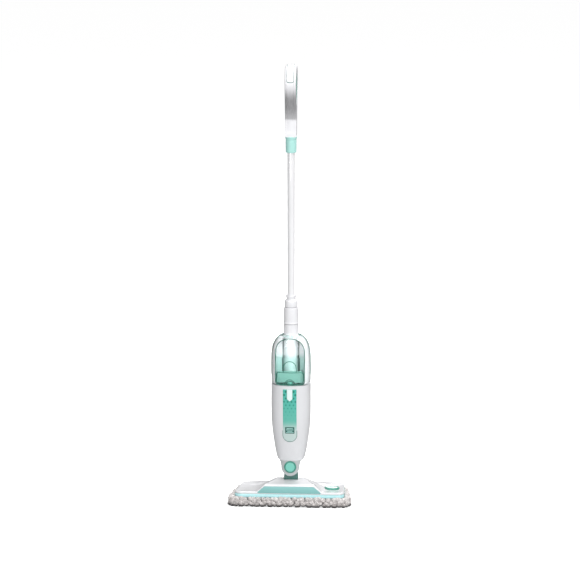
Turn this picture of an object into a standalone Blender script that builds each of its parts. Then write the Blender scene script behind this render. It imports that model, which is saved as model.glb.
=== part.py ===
"""Upright steam mop. Metres, +Z up, standing on its pad at Z 0, front towards -Y.

The head lies on the floor. A neck yoke tips back in it about X, and the body swings sideways on the yoke
about Y. The body holds the pump, boiler and tank seat. The pole slides a little way into the body's neck,
which works the pump, and carries the loop handle.
"""

import math

import bmesh
import bpy
from mathutils import Matrix, Vector

# ---------------------------------------------------------------- driving dimensions
CLEARANCE = 0.0003

PAD_FRONT_HALF = 0.1722
PAD_BACK_HALF = 0.1490
PAD_HALF_DEPTH = 0.088
PAD_HEIGHT = 0.028
PAD_FLOOR = 0.012

HEAD_FRONT_HALF = 0.1508
HEAD_BACK_HALF = 0.1400
HEAD_HALF_DEPTH = 0.0723
PLATE_TOP = 0.024
STRIP_TOP = 0.0335
WING_HEIGHT = 0.0385
PLATEAU_HALF = 0.066
PLATEAU_FOOT = 0.092
COVER_WALL = 0.0024
# distance behind the pivot, height of the cover's middle
COVER_PROFILE = [
    (-0.080, 0.0555),
    (-0.066, 0.0572),
    (-0.052, 0.0596),
    (-0.036, 0.0624),
    (-0.018, 0.0646),
    (0.000, 0.0650),
    (0.018, 0.0605),
    (0.036, 0.0510),
    (0.052, 0.0430),
    (0.066, 0.0400),
    (0.080, 0.0390),
]

PITCH_Z = 0.046
SWIVEL_Z = 0.1015
NOSE_RADIUS = 0.0245
REAR_EAR_RADIUS = 0.0215
EAR_INNER_Y = 0.0205
SWIVEL_PIN_RADIUS = 0.006
PITCH_PIN_RADIUS = 0.005

SECTION_POWER = 2.5
BODY_WALL = 0.0026
BODY_BOTTOM = 0.118
BODY_TOP = 0.3305
# height, half width, depth to the front, depth to the back
BODY_STATIONS = [
    (0.118, 0.0335, 0.0335, 0.0285),
    (0.127, 0.0380, 0.0355, 0.0305),
    (0.163, 0.0450, 0.0410, 0.0345),
    (0.226, 0.0525, 0.0480, 0.0395),
    (0.331, 0.0535, 0.0515, 0.0420),
]
DOME_STATIONS = [
    (0.331, 0.0535, 0.0515, 0.0420),
    (0.395, 0.0530, 0.0515, 0.0410),
    (0.429, 0.0505, 0.0505, 0.0385),
    (0.446, 0.0445, 0.0490, 0.0340),
    (0.457, 0.0360, 0.0470, 0.0280),
    (0.463, 0.0237, 0.0440, 0.0237),
]

TANK_BOTTOM = 0.3313
TANK_BACK_Y = 0.0092
TANK_WALL = 0.0022
TANK_STATIONS = [
    (0.3313, 0.0490, 0.0475),
    (0.3350, 0.0522, 0.0505),
    (0.3450, 0.0532, 0.0515),
    (0.4000, 0.0532, 0.0517),
    (0.4290, 0.0508, 0.0510),
    (0.4460, 0.0447, 0.0495),
    (0.4570, 0.0365, 0.0475),
    (0.4650, 0.0255, 0.0445),
    (0.4685, 0.0150, 0.0400),
]
CAP_Y = -0.0345
CAP_HOLE_RADIUS = 0.0086
SPOUT_Y = CAP_Y + 0.0068

COLUMN_RADIUS = 0.0206
COLUMN_BORE = 0.0178
COLUMN_TOP = 0.4937
NECK_RADIUS = 0.0192
NECK_TOP = 0.5400
WIPER_TOP = 0.5730

POLE_RADIUS = 0.0098
POLE_BORE = 0.0089
POLE_BOTTOM = 0.4560
POLE_TOP = 1.0000
COLLAR_RADIUS = 0.0147
COLLAR_BOTTOM = 0.9670
HANDLE_BOTTOM = 1.0123
HANDLE_HALF_WIDTH = 0.0155
HANDLE_WALL = 0.0024
PUMP_STROKE = 0.015
BUTTON_Z = 0.984

PANEL_HALF = 0.0187
PANEL_BOTTOM = 0.1745
PANEL_TOP = 0.3215
LENS_HALF = 0.0063
LENS_BOTTOM = 0.2890
LENS_TOP = 0.3205

HOOK_Z = 1.030
LOWER_HOOK_Z = 0.235
GLAND_Z = 0.150
BODY_SCREWS = [(0.036, 0.300), (0.024, 0.150)]
HEAD_SCREW_XY = (0.118, 0.046)
PEDAL_X = 0.112


# ---------------------------------------------------------------- materials
def material(name, colour, roughness, metallic=0.0, alpha=1.0):
    made = bpy.data.materials.new(name)
    made.use_nodes = True
    shader = made.node_tree.nodes["Principled BSDF"]
    shader.inputs["Base Color"].default_value = (*colour, 1.0)
    shader.inputs["Roughness"].default_value = roughness
    shader.inputs["Metallic"].default_value = metallic
    shader.inputs["Alpha"].default_value = alpha
    return made


def make_materials():
    return {
        "white": material("white_plastic", (0.88, 0.88, 0.89), 0.25),
        "teal": material("teal_plastic", (0.35, 0.72, 0.66), 0.35),
        "deep_teal": material("inlay_teal", (0.20, 0.62, 0.55), 0.35),
        "aqua": material("aqua_strip", (0.62, 0.86, 0.87), 0.3),
        "tank": material("tank_clear", (0.62, 0.86, 0.80), 0.08, alpha=0.4),
        "lens": material("lens_milky", (0.93, 0.97, 0.96), 0.2),
        "fabric": material("pad_microfibre", (0.82, 0.79, 0.77), 0.95),
        "pole": material("pole_enamel", (0.90, 0.90, 0.90), 0.25),
        "steel": material("steel", (0.62, 0.62, 0.63), 0.3, metallic=1.0),
        "brass": material("brass", (0.78, 0.60, 0.30), 0.3, metallic=1.0),
        "alloy": material("boiler_alloy", (0.66, 0.67, 0.68), 0.45, metallic=1.0),
        "rubber": material("black_rubber", (0.05, 0.05, 0.05), 0.7),
        "hose": material("hose_silicone", (0.80, 0.78, 0.74), 0.5),
        "grey": material("inner_grey", (0.42, 0.43, 0.44), 0.5),
        "board": material("board_green", (0.05, 0.30, 0.14), 0.5),
    }


# ---------------------------------------------------------------- modelling helpers
SMOOTH_ANGLE = math.radians(35)


def add_mesh(name, verts, faces, mat):
    """One object from a closed mesh, with its faces turned outwards."""
    mesh = bpy.data.meshes.new(name)
    bm = bmesh.new()
    points = [bm.verts.new(v) for v in verts]
    for face in faces:
        bm.faces.new([points[i] for i in face])
    bmesh.ops.recalc_face_normals(bm, faces=bm.faces)
    bm.to_mesh(mesh)
    bm.free()
    mesh.shade_smooth()
    mesh.set_sharp_from_angle(angle=SMOOTH_ANGLE)
    mesh.materials.append(mat)
    obj = bpy.data.objects.new(name, mesh)
    bpy.context.scene.collection.objects.link(obj)
    return obj


def loft(name, rings, mat):
    """Solid through rings of equally many points, with flat ends."""
    count = len(rings[0])
    verts = [point for ring in rings for point in ring]
    faces = [tuple(range(count)), tuple((len(rings) - 1) * count + i for i in range(count))]
    for level in range(len(rings) - 1):
        low, high = level * count, (level + 1) * count
        for i in range(count):
            j = (i + 1) % count
            faces.append((low + i, low + j, high + j, high + i))
    return add_mesh(name, verts, faces, mat)


def on_plane(plane, u, v, height):
    """Point (u, v) of a plane named by its two axes, at a height along the third."""
    if plane == "XY":
        return Vector((u, v, height))
    if plane == "XZ":
        return Vector((u, height, v))
    return Vector((height, u, v))


def prism(name, outline, plane, low, high, mat):
    rings = [[on_plane(plane, u, v, h) for u, v in outline] for h in (low, high)]
    return loft(name, rings, mat)


def placed(axis, centre):
    """Matrix that lays the Z axis along a named axis through a point."""
    turn = {"Z": Matrix(), "X": Matrix.Rotation(math.pi / 2, 4, "Y"), "Y": Matrix.Rotation(-math.pi / 2, 4, "X")}
    return Matrix.Translation(centre) @ turn[axis]


def turned(name, profile, mat, axis="Z", centre=(0, 0, 0), segments=16):
    """Solid of revolution of a closed profile of (radius, height) points; radius 0 lies on the axis."""
    verts, loops = [], []
    for radius, height in profile:
        if radius < 1e-9:
            loops.append([len(verts)] * segments)
            verts.append((0, 0, height))
            continue
        loops.append(list(range(len(verts), len(verts) + segments)))
        for i in range(segments):
            angle = 2 * math.pi * i / segments
            verts.append((radius * math.cos(angle), radius * math.sin(angle), height))
    faces = []
    for low, high in zip(loops, loops[1:] + loops[:1]):
        for i in range(segments):
            j = (i + 1) % segments
            face = list(dict.fromkeys((low[i], low[j], high[j], high[i])))
            if len(face) > 2:
                faces.append(face)
    place = placed(axis, centre)
    return add_mesh(name, [place @ Vector(v) for v in verts], faces, mat)


def rod(name, radius, low, high, mat, axis="Z", centre=(0, 0, 0), bore=0.0, segments=16):
    """Cylinder or tube from low to high along an axis."""
    if bore == 0.0:
        place = placed(axis, centre)
        rings = [[place @ Vector((x, y, z)) for x, y in circle(radius, segments)] for z in (low, high)]
        return loft(name, rings, mat)
    profile = [(bore, low), (radius, low), (radius, high), (bore, high)]
    return turned(name, profile, mat, axis, centre, segments)


def box(name, low, high, mat):
    outline = [(low[0], low[1]), (high[0], low[1]), (high[0], high[1]), (low[0], high[1])]
    return prism(name, outline, "XY", low[2], high[2], mat)


def sweep(name, path, radius, mat, sides=8):
    """Round rod along a path of points, for hoses and springs."""
    rings = []
    normal = (path[1] - path[0]).orthogonal().normalized()
    for i, point in enumerate(path):
        along = (path[min(i + 1, len(path) - 1)] - path[max(i - 1, 0)]).normalized()
        normal = (normal - along * normal.dot(along)).normalized()
        side = along.cross(normal)
        turns = [2 * math.pi * k / sides for k in range(sides)]
        rings.append([point + (normal * math.cos(a) + side * math.sin(a)) * radius for a in turns])
    return loft(name, rings, mat)


def coil(name, radius, wire, bottom, top, turns, mat, centre=(0, 0)):
    """Compression spring on a vertical axis."""
    steps = int(turns * 8)
    path = []
    for i in range(steps + 1):
        angle = 2 * math.pi * turns * i / steps
        height = bottom + wire + (top - bottom - 2 * wire) * i / steps
        path.append(Vector((centre[0] + radius * math.cos(angle), centre[1] + radius * math.sin(angle), height)))
    return sweep(name, path, wire, mat, sides=4)


def curve_through(points, steps=8, closed=False):
    """Catmull-Rom curve through points of any dimension."""
    points = [Vector(p) for p in points]
    count = len(points)
    spans = count if closed else count - 1
    found = []
    for i in range(spans):
        if closed:
            a, b, c, d = (points[(i + k) % count] for k in (-1, 0, 1, 2))
        else:
            a, b, c, d = (points[min(max(i + k, 0), count - 1)] for k in (-1, 0, 1, 2))
        for step in range(steps):
            t = step / steps
            found.append(
                0.5 * (2 * b + (c - a) * t + (2 * a - 5 * b + 4 * c - d) * t**2 + (3 * b - a - 3 * c + d) * t**3)
            )
    if not closed:
        found.append(points[-1])
    return found


def offset(outline, distance):
    """Closed 2D outline, counter-clockwise, moved outwards by a distance along its corner normals."""
    moved = []
    count = len(outline)
    for i in range(count):
        before, here, after = (Vector(outline[(i + k) % count]) for k in (-1, 0, 1))
        first, second = (here - before).normalized(), (after - here).normalized()
        normal = Vector((first.y + second.y, -first.x - second.x)).normalized()
        spread = max(normal.dot(Vector((first.y, -first.x))), 0.5)
        moved.append(here + normal * (distance / spread))
    return [tuple(p) for p in moved]


def rounded(corners, radius, steps=4):
    """Convex polygon, counter-clockwise, with its corners rounded."""
    outline = []
    count = len(corners)
    for i in range(count):
        before, here, after = (Vector(corners[(i + k) % count]) for k in (-1, 0, 1))
        back, forth = (before - here).normalized(), (after - here).normalized()
        half = back.angle(forth) / 2
        centre = here + (back + forth).normalized() * (radius / math.sin(half))
        start = here + back * (radius / math.tan(half)) - centre
        turn = math.pi - 2 * half
        for step in range(steps + 1):
            angle = turn * step / steps
            c, s = math.cos(angle), math.sin(angle)
            outline.append((centre.x + start.x * c - start.y * s, centre.y + start.x * s + start.y * c))
    return outline


def circle(radius, segments=24, centre=(0, 0), stretch=1.0):
    angles = [2 * math.pi * i / segments for i in range(segments)]
    return [(centre[0] + radius * math.cos(a), centre[1] + radius * stretch * math.sin(a)) for a in angles]


def combine(obj, others, operation):
    """Boolean of obj with helpers, which are hidden."""
    for other in others:
        modifier = obj.modifiers.new(operation.lower() + "_" + other.name, "BOOLEAN")
        modifier.operation = operation
        modifier.solver = "EXACT"
        modifier.object = other
        other.hide_render = True
        other.display_type = "WIRE"
    return obj


def cut(obj, *others):
    return combine(obj, others, "DIFFERENCE")


def join(obj, *others):
    return combine(obj, others, "UNION")


def interpolate(table, z):
    """Row of a table of stations at height z, through smooth curves."""
    z = min(max(z, table[0][0]), table[-1][0])
    i = max(k for k in range(len(table) - 1) if table[k][0] <= z)
    t = (z - table[i][0]) / (table[i + 1][0] - table[i][0])
    found = []
    for column in range(1, len(table[0])):
        def slope(k):
            low, high = max(k - 1, 0), min(k + 1, len(table) - 1)
            return (table[high][column] - table[low][column]) / (table[high][0] - table[low][0])

        span = table[i + 1][0] - table[i][0]
        a, b = table[i][column], table[i + 1][column]
        m, n = slope(i) * span, slope(i + 1) * span
        found.append(
            (2 * t**3 - 3 * t**2 + 1) * a + (t**3 - 2 * t**2 + t) * m + (-2 * t**3 + 3 * t**2) * b + (t**3 - t**2) * n
        )
    return found


def spaced(low, high, count):
    return [low + (high - low) * i / (count - 1) for i in range(count)]


# ---------------------------------------------------------------- shared sections
def arc_section(half_width, depth, side, clip, z, count, inset=0.0):
    """Points of half a superellipse on one side (+1 back, -1 front), from +X to -X, no nearer to Y 0 than clip."""
    reach = depth - inset
    start = math.asin(min((clip / reach) ** (SECTION_POWER / 2), 1.0)) if clip > 0 else 0.0
    points = []
    for i in range(count):
        angle = start + (math.pi - 2 * start) * i / (count - 1)
        c, s = math.cos(angle), abs(math.sin(angle))
        x = math.copysign(abs(c) ** (2 / SECTION_POWER), c) * (half_width - inset)
        y = max(s ** (2 / SECTION_POWER) * reach, clip)
        points.append(Vector((x, side * y, z)))
    return points


def body_y(x, z, side):
    """Y of the body's surface in front (side -1) or behind (side 1)."""
    half_width, front, back = interpolate(BODY_STATIONS, z)
    depth = back if side > 0 else front
    return side * depth * (1 - abs(x / half_width) ** SECTION_POWER) ** (1 / SECTION_POWER)


def screw_seat(x, z):
    """Y of the sunk seat under a body screw's head."""
    return body_y(x, z, 1) - 0.0090


def trapezoid(grow=0.0, radius=0.019, front=HEAD_FRONT_HALF, back=HEAD_BACK_HALF, depth=HEAD_HALF_DEPTH):
    """Plan outline of the head, wider at the front, grown outwards."""
    corners = [(-front, -depth), (front, -depth), (back, depth), (-back, depth)]
    return offset(rounded(corners, radius), grow)


# ---------------------------------------------------------------- head
def wing_height(x, y):
    """Wings are shallow dishes with a raised rim."""
    rim = max(abs(abs(x) - 0.116) / 0.026, abs(y) / 0.058)
    return WING_HEIGHT - 0.002 * max(0.0, 1 - rim**4)


def cover_height(x, y):
    share = min(max((PLATEAU_FOOT - abs(x)) / (PLATEAU_FOOT - PLATEAU_HALF), 0), 1)
    share = share * share * (3 - 2 * share)
    wing = wing_height(x, y)
    return wing + (interpolate(COVER_PROFILE, y)[0] - wing) * share


def cover_block(name, sink, mat):
    """Solid under the cover's top surface, lowered by sink, and wider than the head."""
    halves = [0, 0.030, 0.066, 0.073, 0.079, 0.085, 0.092, 0.116, 0.138, 0.160]
    xs = [-x for x in reversed(halves[1:])] + halves
    ys = [y for y, _ in COVER_PROFILE]
    bottom = STRIP_TOP + CLEARANCE if sink == 0 else STRIP_TOP - 0.010
    top = [Vector((x, y, cover_height(x, y) - sink)) for x in xs for y in ys]
    base = [Vector((x, y, bottom)) for x in xs for y in ys]
    deep, count = len(ys), len(xs) * len(ys)
    faces = []
    for i in range(len(xs) - 1):
        for j in range(deep - 1):
            a = i * deep + j
            faces += [(a, a + 1, a + deep + 1), (a, a + deep + 1, a + deep)]
            faces.append((a + count, a + deep + count, a + deep + 1 + count, a + 1 + count))
    border = [i * deep for i in range(len(xs))]
    border += [(len(xs) - 1) * deep + j for j in range(1, deep)]
    border += [i * deep + deep - 1 for i in range(len(xs) - 2, -1, -1)]
    border += [j for j in range(deep - 2, 0, -1)]
    for a, b in zip(border, border[1:] + border[:1]):
        faces.append((a, b, b + count, a + count))
    return add_mesh(name, top + base, faces, mat)


def panel_outline(grow):
    """Front panel of the head in the XZ plane: a low trapezoid."""
    corners = [(-0.089, 0.0362), (0.089, 0.0362), (0.0665, 0.0545), (-0.0665, 0.0545)]
    return offset(rounded(corners, 0.0025, steps=2), grow)


def screw_places():
    x, y = HEAD_SCREW_XY
    return [(-x, -y), (x, -y), (x, y), (-x, y)]


def head_cover(mats):
    cover = cover_block("head_cover", 0.0, mats["white"])
    plan = prism("cover_plan", trapezoid(-0.0004), "XY", 0.020, 0.080, mats["white"])
    combine(cover, [plan], "INTERSECT")
    inner = cover_block("cover_inner", COVER_WALL, mats["white"])
    inner_plan = prism("cover_inner_plan", trapezoid(-0.0004 - COVER_WALL), "XY", 0.015, 0.085, mats["white"])
    combine(inner, [inner_plan], "INTERSECT")
    cut(cover, inner)
    for i, (x, y) in enumerate(screw_places()):
        boss = rod(f"cover_boss_{i}", 0.0042, 0.0243, 0.0354, mats["white"], centre=(x, y, 0), segments=12)
        pilot = rod(f"cover_pilot_{i}", 0.0017, 0.0200, 0.0340, mats["white"], centre=(x, y, 0), segments=12)
        join(cover, boss)
        cut(cover, pilot)
    opening = box("yoke_opening", (-0.0212, -0.0195, 0.030), (0.0212, 0.030, 0.080), mats["white"])
    channel = box("rear_channel", (-0.040, 0.019, 0.030), (0.040, 0.090, 0.080), mats["white"])
    pocket = prism("panel_pocket", panel_outline(CLEARANCE), "XZ", -0.080, -0.0706, mats["white"])
    pedal_hole = prism(
        "pedal_hole", circle(0.0186, centre=(PEDAL_X, 0), stretch=1.12), "XY", 0.030, 0.050, mats["white"]
    )
    cut(cover, opening, channel, pocket, pedal_hole)
    return cover


def cleaning_pad(mats):
    outer = trapezoid(0, 0.034, PAD_FRONT_HALF, PAD_BACK_HALF, PAD_HALF_DEPTH)
    crown = offset(outer, -0.003)
    rings = [
        [Vector((x, y, 0.0)) for x, y in offset(outer, -0.002)],
        [Vector((x, y, 0.004)) for x, y in outer],
        [Vector((x, y, PAD_HEIGHT - 0.004)) for x, y in outer],
        [Vector((x, y, PAD_HEIGHT)) for x, y in crown],
    ]
    pad = loft("cleaning_pad", rings, mats["fabric"])
    recess = prism("pad_recess", trapezoid(0.0012), "XY", PAD_FLOOR, 0.060, mats["fabric"])
    return cut(pad, recess)


def base_plate(mats):
    plate = prism("base_plate", trapezoid(-0.0015), "XY", PAD_FLOOR + CLEARANCE, PLATE_TOP, mats["grey"])
    for i, x in enumerate((-0.045, 0.0, 0.045)):
        outlet = rod(f"steam_outlet_{i}", 0.0022, 0.005, 0.030, mats["grey"], centre=(x, -0.047, 0), segments=8)
        cut(plate, outlet)
    for i, (x, y) in enumerate(screw_places()):
        hole = rod(f"plate_hole_{i}", 0.0019, 0.005, 0.030, mats["grey"], centre=(x, y, 0), segments=12)
        seat = rod(f"plate_seat_{i}", 0.0036, 0.005, 0.0155, mats["grey"], centre=(x, y, 0), segments=12)
        cut(plate, hole, seat)
    return plate


def head_screw(name, x, y, mats):
    profile = [(0, 0.0127), (0.0032, 0.0127), (0.0032, 0.0151), (0.0016, 0.0151), (0.0016, 0.0330), (0, 0.0336)]
    return turned(name, profile, mats["steel"], centre=(x, y, 0), segments=12)


def bumper_strip(mats):
    strip = prism("bumper_strip", trapezoid(), "XY", PLATE_TOP + CLEARANCE, STRIP_TOP, mats["aqua"])
    inner = prism("strip_inner", trapezoid(-0.003), "XY", 0.015, 0.040, mats["aqua"])
    return cut(strip, inner)


def pivot_bracket(mats):
    bottom = PLATE_TOP + CLEARANCE
    bracket = box("pivot_bracket", (-0.0330, -0.024, bottom), (0.0330, 0.064, 0.0264), mats["grey"])
    for side in (-1, 1):
        outline = [(-0.013, 0.0250), (0.013, 0.0250), *curve_through([(0.011, 0.046), (0, 0.0565), (-0.011, 0.046)], 4)]
        x0, x1 = sorted((side * 0.0223, side * 0.0325))
        ear = prism(f"bracket_ear_{side + 1}", outline, "YZ", x0, x1, mats["grey"])
        join(bracket, ear)
    bore = rod("bracket_bore", PITCH_PIN_RADIUS + 0.00006, -0.06, 0.06, mats["grey"], "X", (0, 0, PITCH_Z), segments=24)
    return cut(bracket, bore)


def steam_manifold(mats):
    low, high = (-0.062, -0.0640, PLATE_TOP + CLEARANCE), (0.062, -0.0300, 0.0345)
    body = prism(
        "steam_manifold",
        rounded([(low[0], low[1]), (high[0], low[1]), (high[0], high[1]), (low[0], high[1])], 0.006),
        "XY",
        low[2],
        high[2],
        mats["grey"],
    )
    spigot = rod("manifold_spigot", 0.0030, 0.0330, 0.0395, mats["grey"], centre=(-0.046, -0.040, 0), segments=16)
    chamber = box("manifold_chamber", (-0.058, -0.060, 0.0150), (0.058, -0.034, 0.0325), mats["grey"])
    bore = rod("manifold_bore", 0.0015, 0.0300, 0.0500, mats["grey"], centre=(-0.046, -0.040, 0), segments=16)
    return cut(join(body, spigot), chamber, bore)


def head_hose(mats):
    route = [(-0.0342, 0, PITCH_Z), (-0.0372, 0, PITCH_Z), (-0.0435, -0.006, PITCH_Z), (-0.0460, -0.024, 0.0478),
             (-0.0460, -0.0385, 0.0470), (-0.046, -0.040, 0.0428), (-0.046, -0.040, 0.0398)]
    return hose("head_hose", route, 0.0030, mats)


def pad_pedal(mats):
    rings = []
    for radius, z in ((0.0205, 0.0322), (0.0205, 0.0337), (0.0180, 0.0337), (0.0180, 0.0385), (0.0165, 0.0398),
                      (0.0110, 0.0407)):
        rings.append([Vector((x, y, z)) for x, y in circle(radius, 24, (PEDAL_X, 0), 1.12)])
    return loft("pad_pedal", rings, mats["teal"])


# ---------------------------------------------------------------- neck
def neck_yoke(mats):
    barrel = rod("neck_yoke", 0.0125, -0.0205, 0.0205, mats["teal"], "X", (0, 0, PITCH_Z), segments=24)
    hub = rod("yoke_hub", 0.0158, -0.0185, 0.0185, mats["teal"], "Y", (0, 0, SWIVEL_Z), segments=24)
    neck = [
        [Vector((x, y, z)) for x, y in rounded([(-hx, -hy), (hx, -hy), (hx, hy), (-hx, hy)], 0.004, 3)]
        for hx, hy, z in ((0.0190, 0.0100, 0.046), (0.0190, 0.0150, 0.062), (0.0185, 0.0165, 0.074),
                          (0.0150, 0.0165, SWIVEL_Z))
    ]
    join(barrel, hub, loft("yoke_neck", neck, mats["teal"]))
    pin_bore = rod("yoke_pin_bore", PITCH_PIN_RADIUS + 0.00006, -0.06, 0.06, mats["teal"], "X", (0, 0, PITCH_Z),
                   segments=24)
    hub_bore = rod("yoke_hub_bore", SWIVEL_PIN_RADIUS + 0.00006, -0.06, 0.06, mats["teal"], "Y", (0, 0, SWIVEL_Z),
                   segments=24)
    return cut(barrel, pin_bore, hub_bore)


def pitch_pin(mats):
    return rod("pitch_pin", PITCH_PIN_RADIUS, -0.0338, 0.0338, mats["steel"], "X", (0, 0, PITCH_Z), bore=0.0028,
               segments=24)


# ---------------------------------------------------------------- body
def shell_half(name, side, mats):
    """Front or rear half of the lower housing. The rear one goes on up behind the tank, to a dome round the neck."""
    rings = []
    for z in (BODY_BOTTOM, 0.122, 0.127, 0.144, 0.163, 0.194, 0.226, 0.278, BODY_TOP):
        half_width, front, back = interpolate(BODY_STATIONS, z)
        depth = back if side > 0 else front
        outer = arc_section(half_width, depth, side, 0, z, 13)
        inner = arc_section(half_width, depth, side, 0, z, 13, BODY_WALL)
        rings.append(outer + inner[::-1])
    if side > 0:
        clip = TANK_BACK_Y + CLEARANCE
        for z in (0.3309, 0.395, 0.415, 0.429, 0.439, 0.448, 0.457, 0.463):
            half_width, _, back = interpolate(DOME_STATIONS, z)
            outer = arc_section(half_width, back, side, clip, z, 13)
            inner = arc_section(half_width, back, side, clip, z, 13, BODY_WALL)
            rings.append(outer + inner[::-1])
    for ring in rings:
        for point in ring:
            point.y += side * CLEARANCE / 2
    return loft(name, rings, mats["white"])


def nose_ear(name, side, radius, mats):
    """Clevis ear in front of or behind the yoke: round about the swivel axis below, flaring to the body above."""
    half_width, front, back = interpolate(BODY_STATIONS, BODY_BOTTOM)
    depth = (back if side > 0 else front) - 0.0003
    kept = (1 - (EAR_INNER_Y / depth) ** SECTION_POWER) ** (1 / SECTION_POWER)
    shoulder = (half_width - 0.0003) * kept
    sections = [(SWIVEL_Z - radius * math.cos(a), radius * math.sin(a)) for a in spaced(0.22, math.pi / 2, 6)]
    for share in (0.35, 0.7, 1.0, 1.15):
        sections.append((SWIVEL_Z + (BODY_BOTTOM - SWIVEL_Z) * share,
                         radius + (shoulder - radius) * min(share, 1) ** 1.3))
    return loft(name, [arc_section(half / kept, depth, side, EAR_INNER_Y, z, 11) for z, half in sections],
                mats["white"])


def floor_half(name, side, mats):
    """Plate that closes one half of the body above the yoke."""
    half_width, front, back = interpolate(BODY_STATIONS, BODY_BOTTOM)
    depth = back if side > 0 else front
    rings = []
    for z in (0.1184, 0.1210):
        ring = arc_section(half_width, depth, side, 0, z, 13, 0.001)
        for point in ring:
            point.y += side * CLEARANCE / 2
        rings.append(ring)
    return loft(name, rings, mats["white"])


def screw_tower(name, x, z, side, end, radius, mats):
    low, high = sorted((side * 0.0004, side * end))
    return rod(name, radius, low, high, mats["white"], "Y", (x, 0, z), segments=12)


def panel_rows(grow, proud, deep):
    """Sections of the inlay on the curved front of the body: flat top, round bottom."""
    half = PANEL_HALF + grow
    centre = PANEL_BOTTOM + PANEL_HALF
    arcs = [centre - half * math.cos(a) for a in spaced(0.12, math.pi / 2, 6)]
    rings = []
    for z in arcs + spaced(centre + 0.020, PANEL_TOP + grow, 5):
        wide = half if z >= centre else math.sqrt(half**2 - (centre - z) ** 2)
        xs = spaced(-wide, wide, 7)
        outer = [Vector((x, body_y(x, z, -1) - proud, z)) for x in xs]
        inner = [Vector((x, body_y(x, z, -1) + deep, z)) for x in reversed(xs)]
        rings.append(outer + inner)
    return rings


def lens_rows(grow, proud, deep):
    """Sections of the indicator window: a bar with a pointed lower end."""
    rings = []
    half = LENS_HALF + grow
    tip = LENS_BOTTOM - grow
    for z in (tip, tip + half, LENS_TOP + grow):
        wide = max(min(half, z - tip), 0.0006)
        xs = spaced(-wide, wide, 5)
        outer = [Vector((x, body_y(x, z, -1) - proud, z)) for x in xs]
        inner = [Vector((x, body_y(x, z, -1) + deep, z)) for x in reversed(xs)]
        rings.append(outer + inner)
    return rings


def front_shell(mats):
    white = mats["white"]
    shell = shell_half("front_shell", -1, mats)
    join(shell, floor_half("front_floor", -1, mats), nose_ear("front_ear", -1, NOSE_RADIUS, mats))
    for i, (x, z) in enumerate(BODY_SCREWS):
        wall = interpolate(BODY_STATIONS, z)[0] - BODY_WALL
        for side in (-1, 1):
            tower = screw_tower(f"front_tower_{i}_{side + 1}", side * x, z, -1, 0.016, 0.0045, mats)
            left, right = sorted((side * x, side * (wall + 0.0012)))
            rib = box(f"front_rib_{i}_{side + 1}", (left, -0.011, z - 0.0012), (right, -0.003, z + 0.0012), white)
            pilot = rod(f"front_pilot_{i}_{side + 1}", 0.0018, -0.013, 0.01, white, "Y", (side * x, 0, z), segments=8)
            cut(join(shell, tower, rib), pilot)
    pin = rod("front_pin_hole", SWIVEL_PIN_RADIUS + 0.00015, -0.05, 0.0, white, "Y", (0, 0, SWIVEL_Z), segments=24)
    recess = rod("cap_recess", 0.0169, -0.05, -0.0313, white, "Y", (0, 0, SWIVEL_Z), segments=24)
    hose = rod("front_hose_hole", 0.0052, 0.110, 0.130, white, segments=16)
    pocket = loft("inlay_pocket", panel_rows(CLEARANCE, 0.006, 0.0015), white)
    light = rod("light_hole", 0.0024, -0.060, -0.030, white, "Y", (0, 0, 0.306), segments=12)
    return cut(shell, pin, recess, hose, pocket, light)


def rear_shell(mats):
    white = mats["white"]
    shell = shell_half("rear_shell", 1, mats)
    join(shell, floor_half("rear_floor", 1, mats), nose_ear("rear_ear", 1, REAR_EAR_RADIUS, mats))
    hook_pad = rod("hook_pad", 0.0105, 0.0380, 0.0435, white, "Y", (0, 0, LOWER_HOOK_Z), segments=20)
    gland_pad = rod("gland_pad", 0.0095, 0.0305, 0.0375, white, "Y", (0, 0, GLAND_Z), segments=20)
    join(shell, hook_pad, gland_pad)
    for i, (x, z) in enumerate(BODY_SCREWS):
        seat = screw_seat(x, z)
        for side in (-1, 1):
            tower = screw_tower(f"rear_tower_{i}_{side + 1}", side * x, z, 1, seat + 0.0078, 0.0052, mats)
            hole = rod(f"rear_hole_{i}_{side + 1}", 0.0019, -0.010, 0.060, white, "Y", (side * x, 0, z), segments=8)
            sunk = rod(f"rear_sunk_{i}_{side + 1}", 0.0036, seat, 0.060, white, "Y", (side * x, 0, z), segments=12)
            cut(join(shell, tower), hole, sunk)
    pin = rod("rear_pin_hole", SWIVEL_PIN_RADIUS + 0.00015, 0.0, 0.05, white, "Y", (0, 0, SWIVEL_Z), segments=24)
    hose = rod("rear_hose_hole", 0.0052, 0.110, 0.130, white, segments=16)
    gland = rod("gland_hole", 0.0060, 0.010, 0.060, white, "Y", (0, 0, GLAND_Z), segments=20)
    return cut(shell, pin, hose, gland)


def body_screw(name, x, z, seat, mats):
    head = seat + CLEARANCE
    profile = [(0, -0.0115), (0.0016, -0.0110), (0.0016, head), (0.0031, head), (0.0031, head + 0.0022),
               (0, head + 0.0022)]
    return turned(name, profile, mats["steel"], "Y", (x, 0, z), segments=12)


def swivel_pin(mats):
    profile = [(0, -0.0310), (SWIVEL_PIN_RADIUS, -0.0310), (SWIVEL_PIN_RADIUS, 0.0293), (0.0090, 0.0293),
               (0.0090, 0.0312), (0.0070, 0.0322), (0, 0.0322)]
    return turned("swivel_pin", profile, mats["steel"], "Y", (0, 0, SWIVEL_Z), segments=24)


def swivel_cap(mats):
    profile = [(0, -0.0360), (0.0128, -0.0356), (0.0136, -0.0346), (0.0150, -0.0346), (0.0164, -0.0336),
               (0.0164, -0.0316), (0, -0.0316)]
    return turned("swivel_cap", profile, mats["teal"], "Y", (0, 0, SWIVEL_Z), segments=28)


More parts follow.
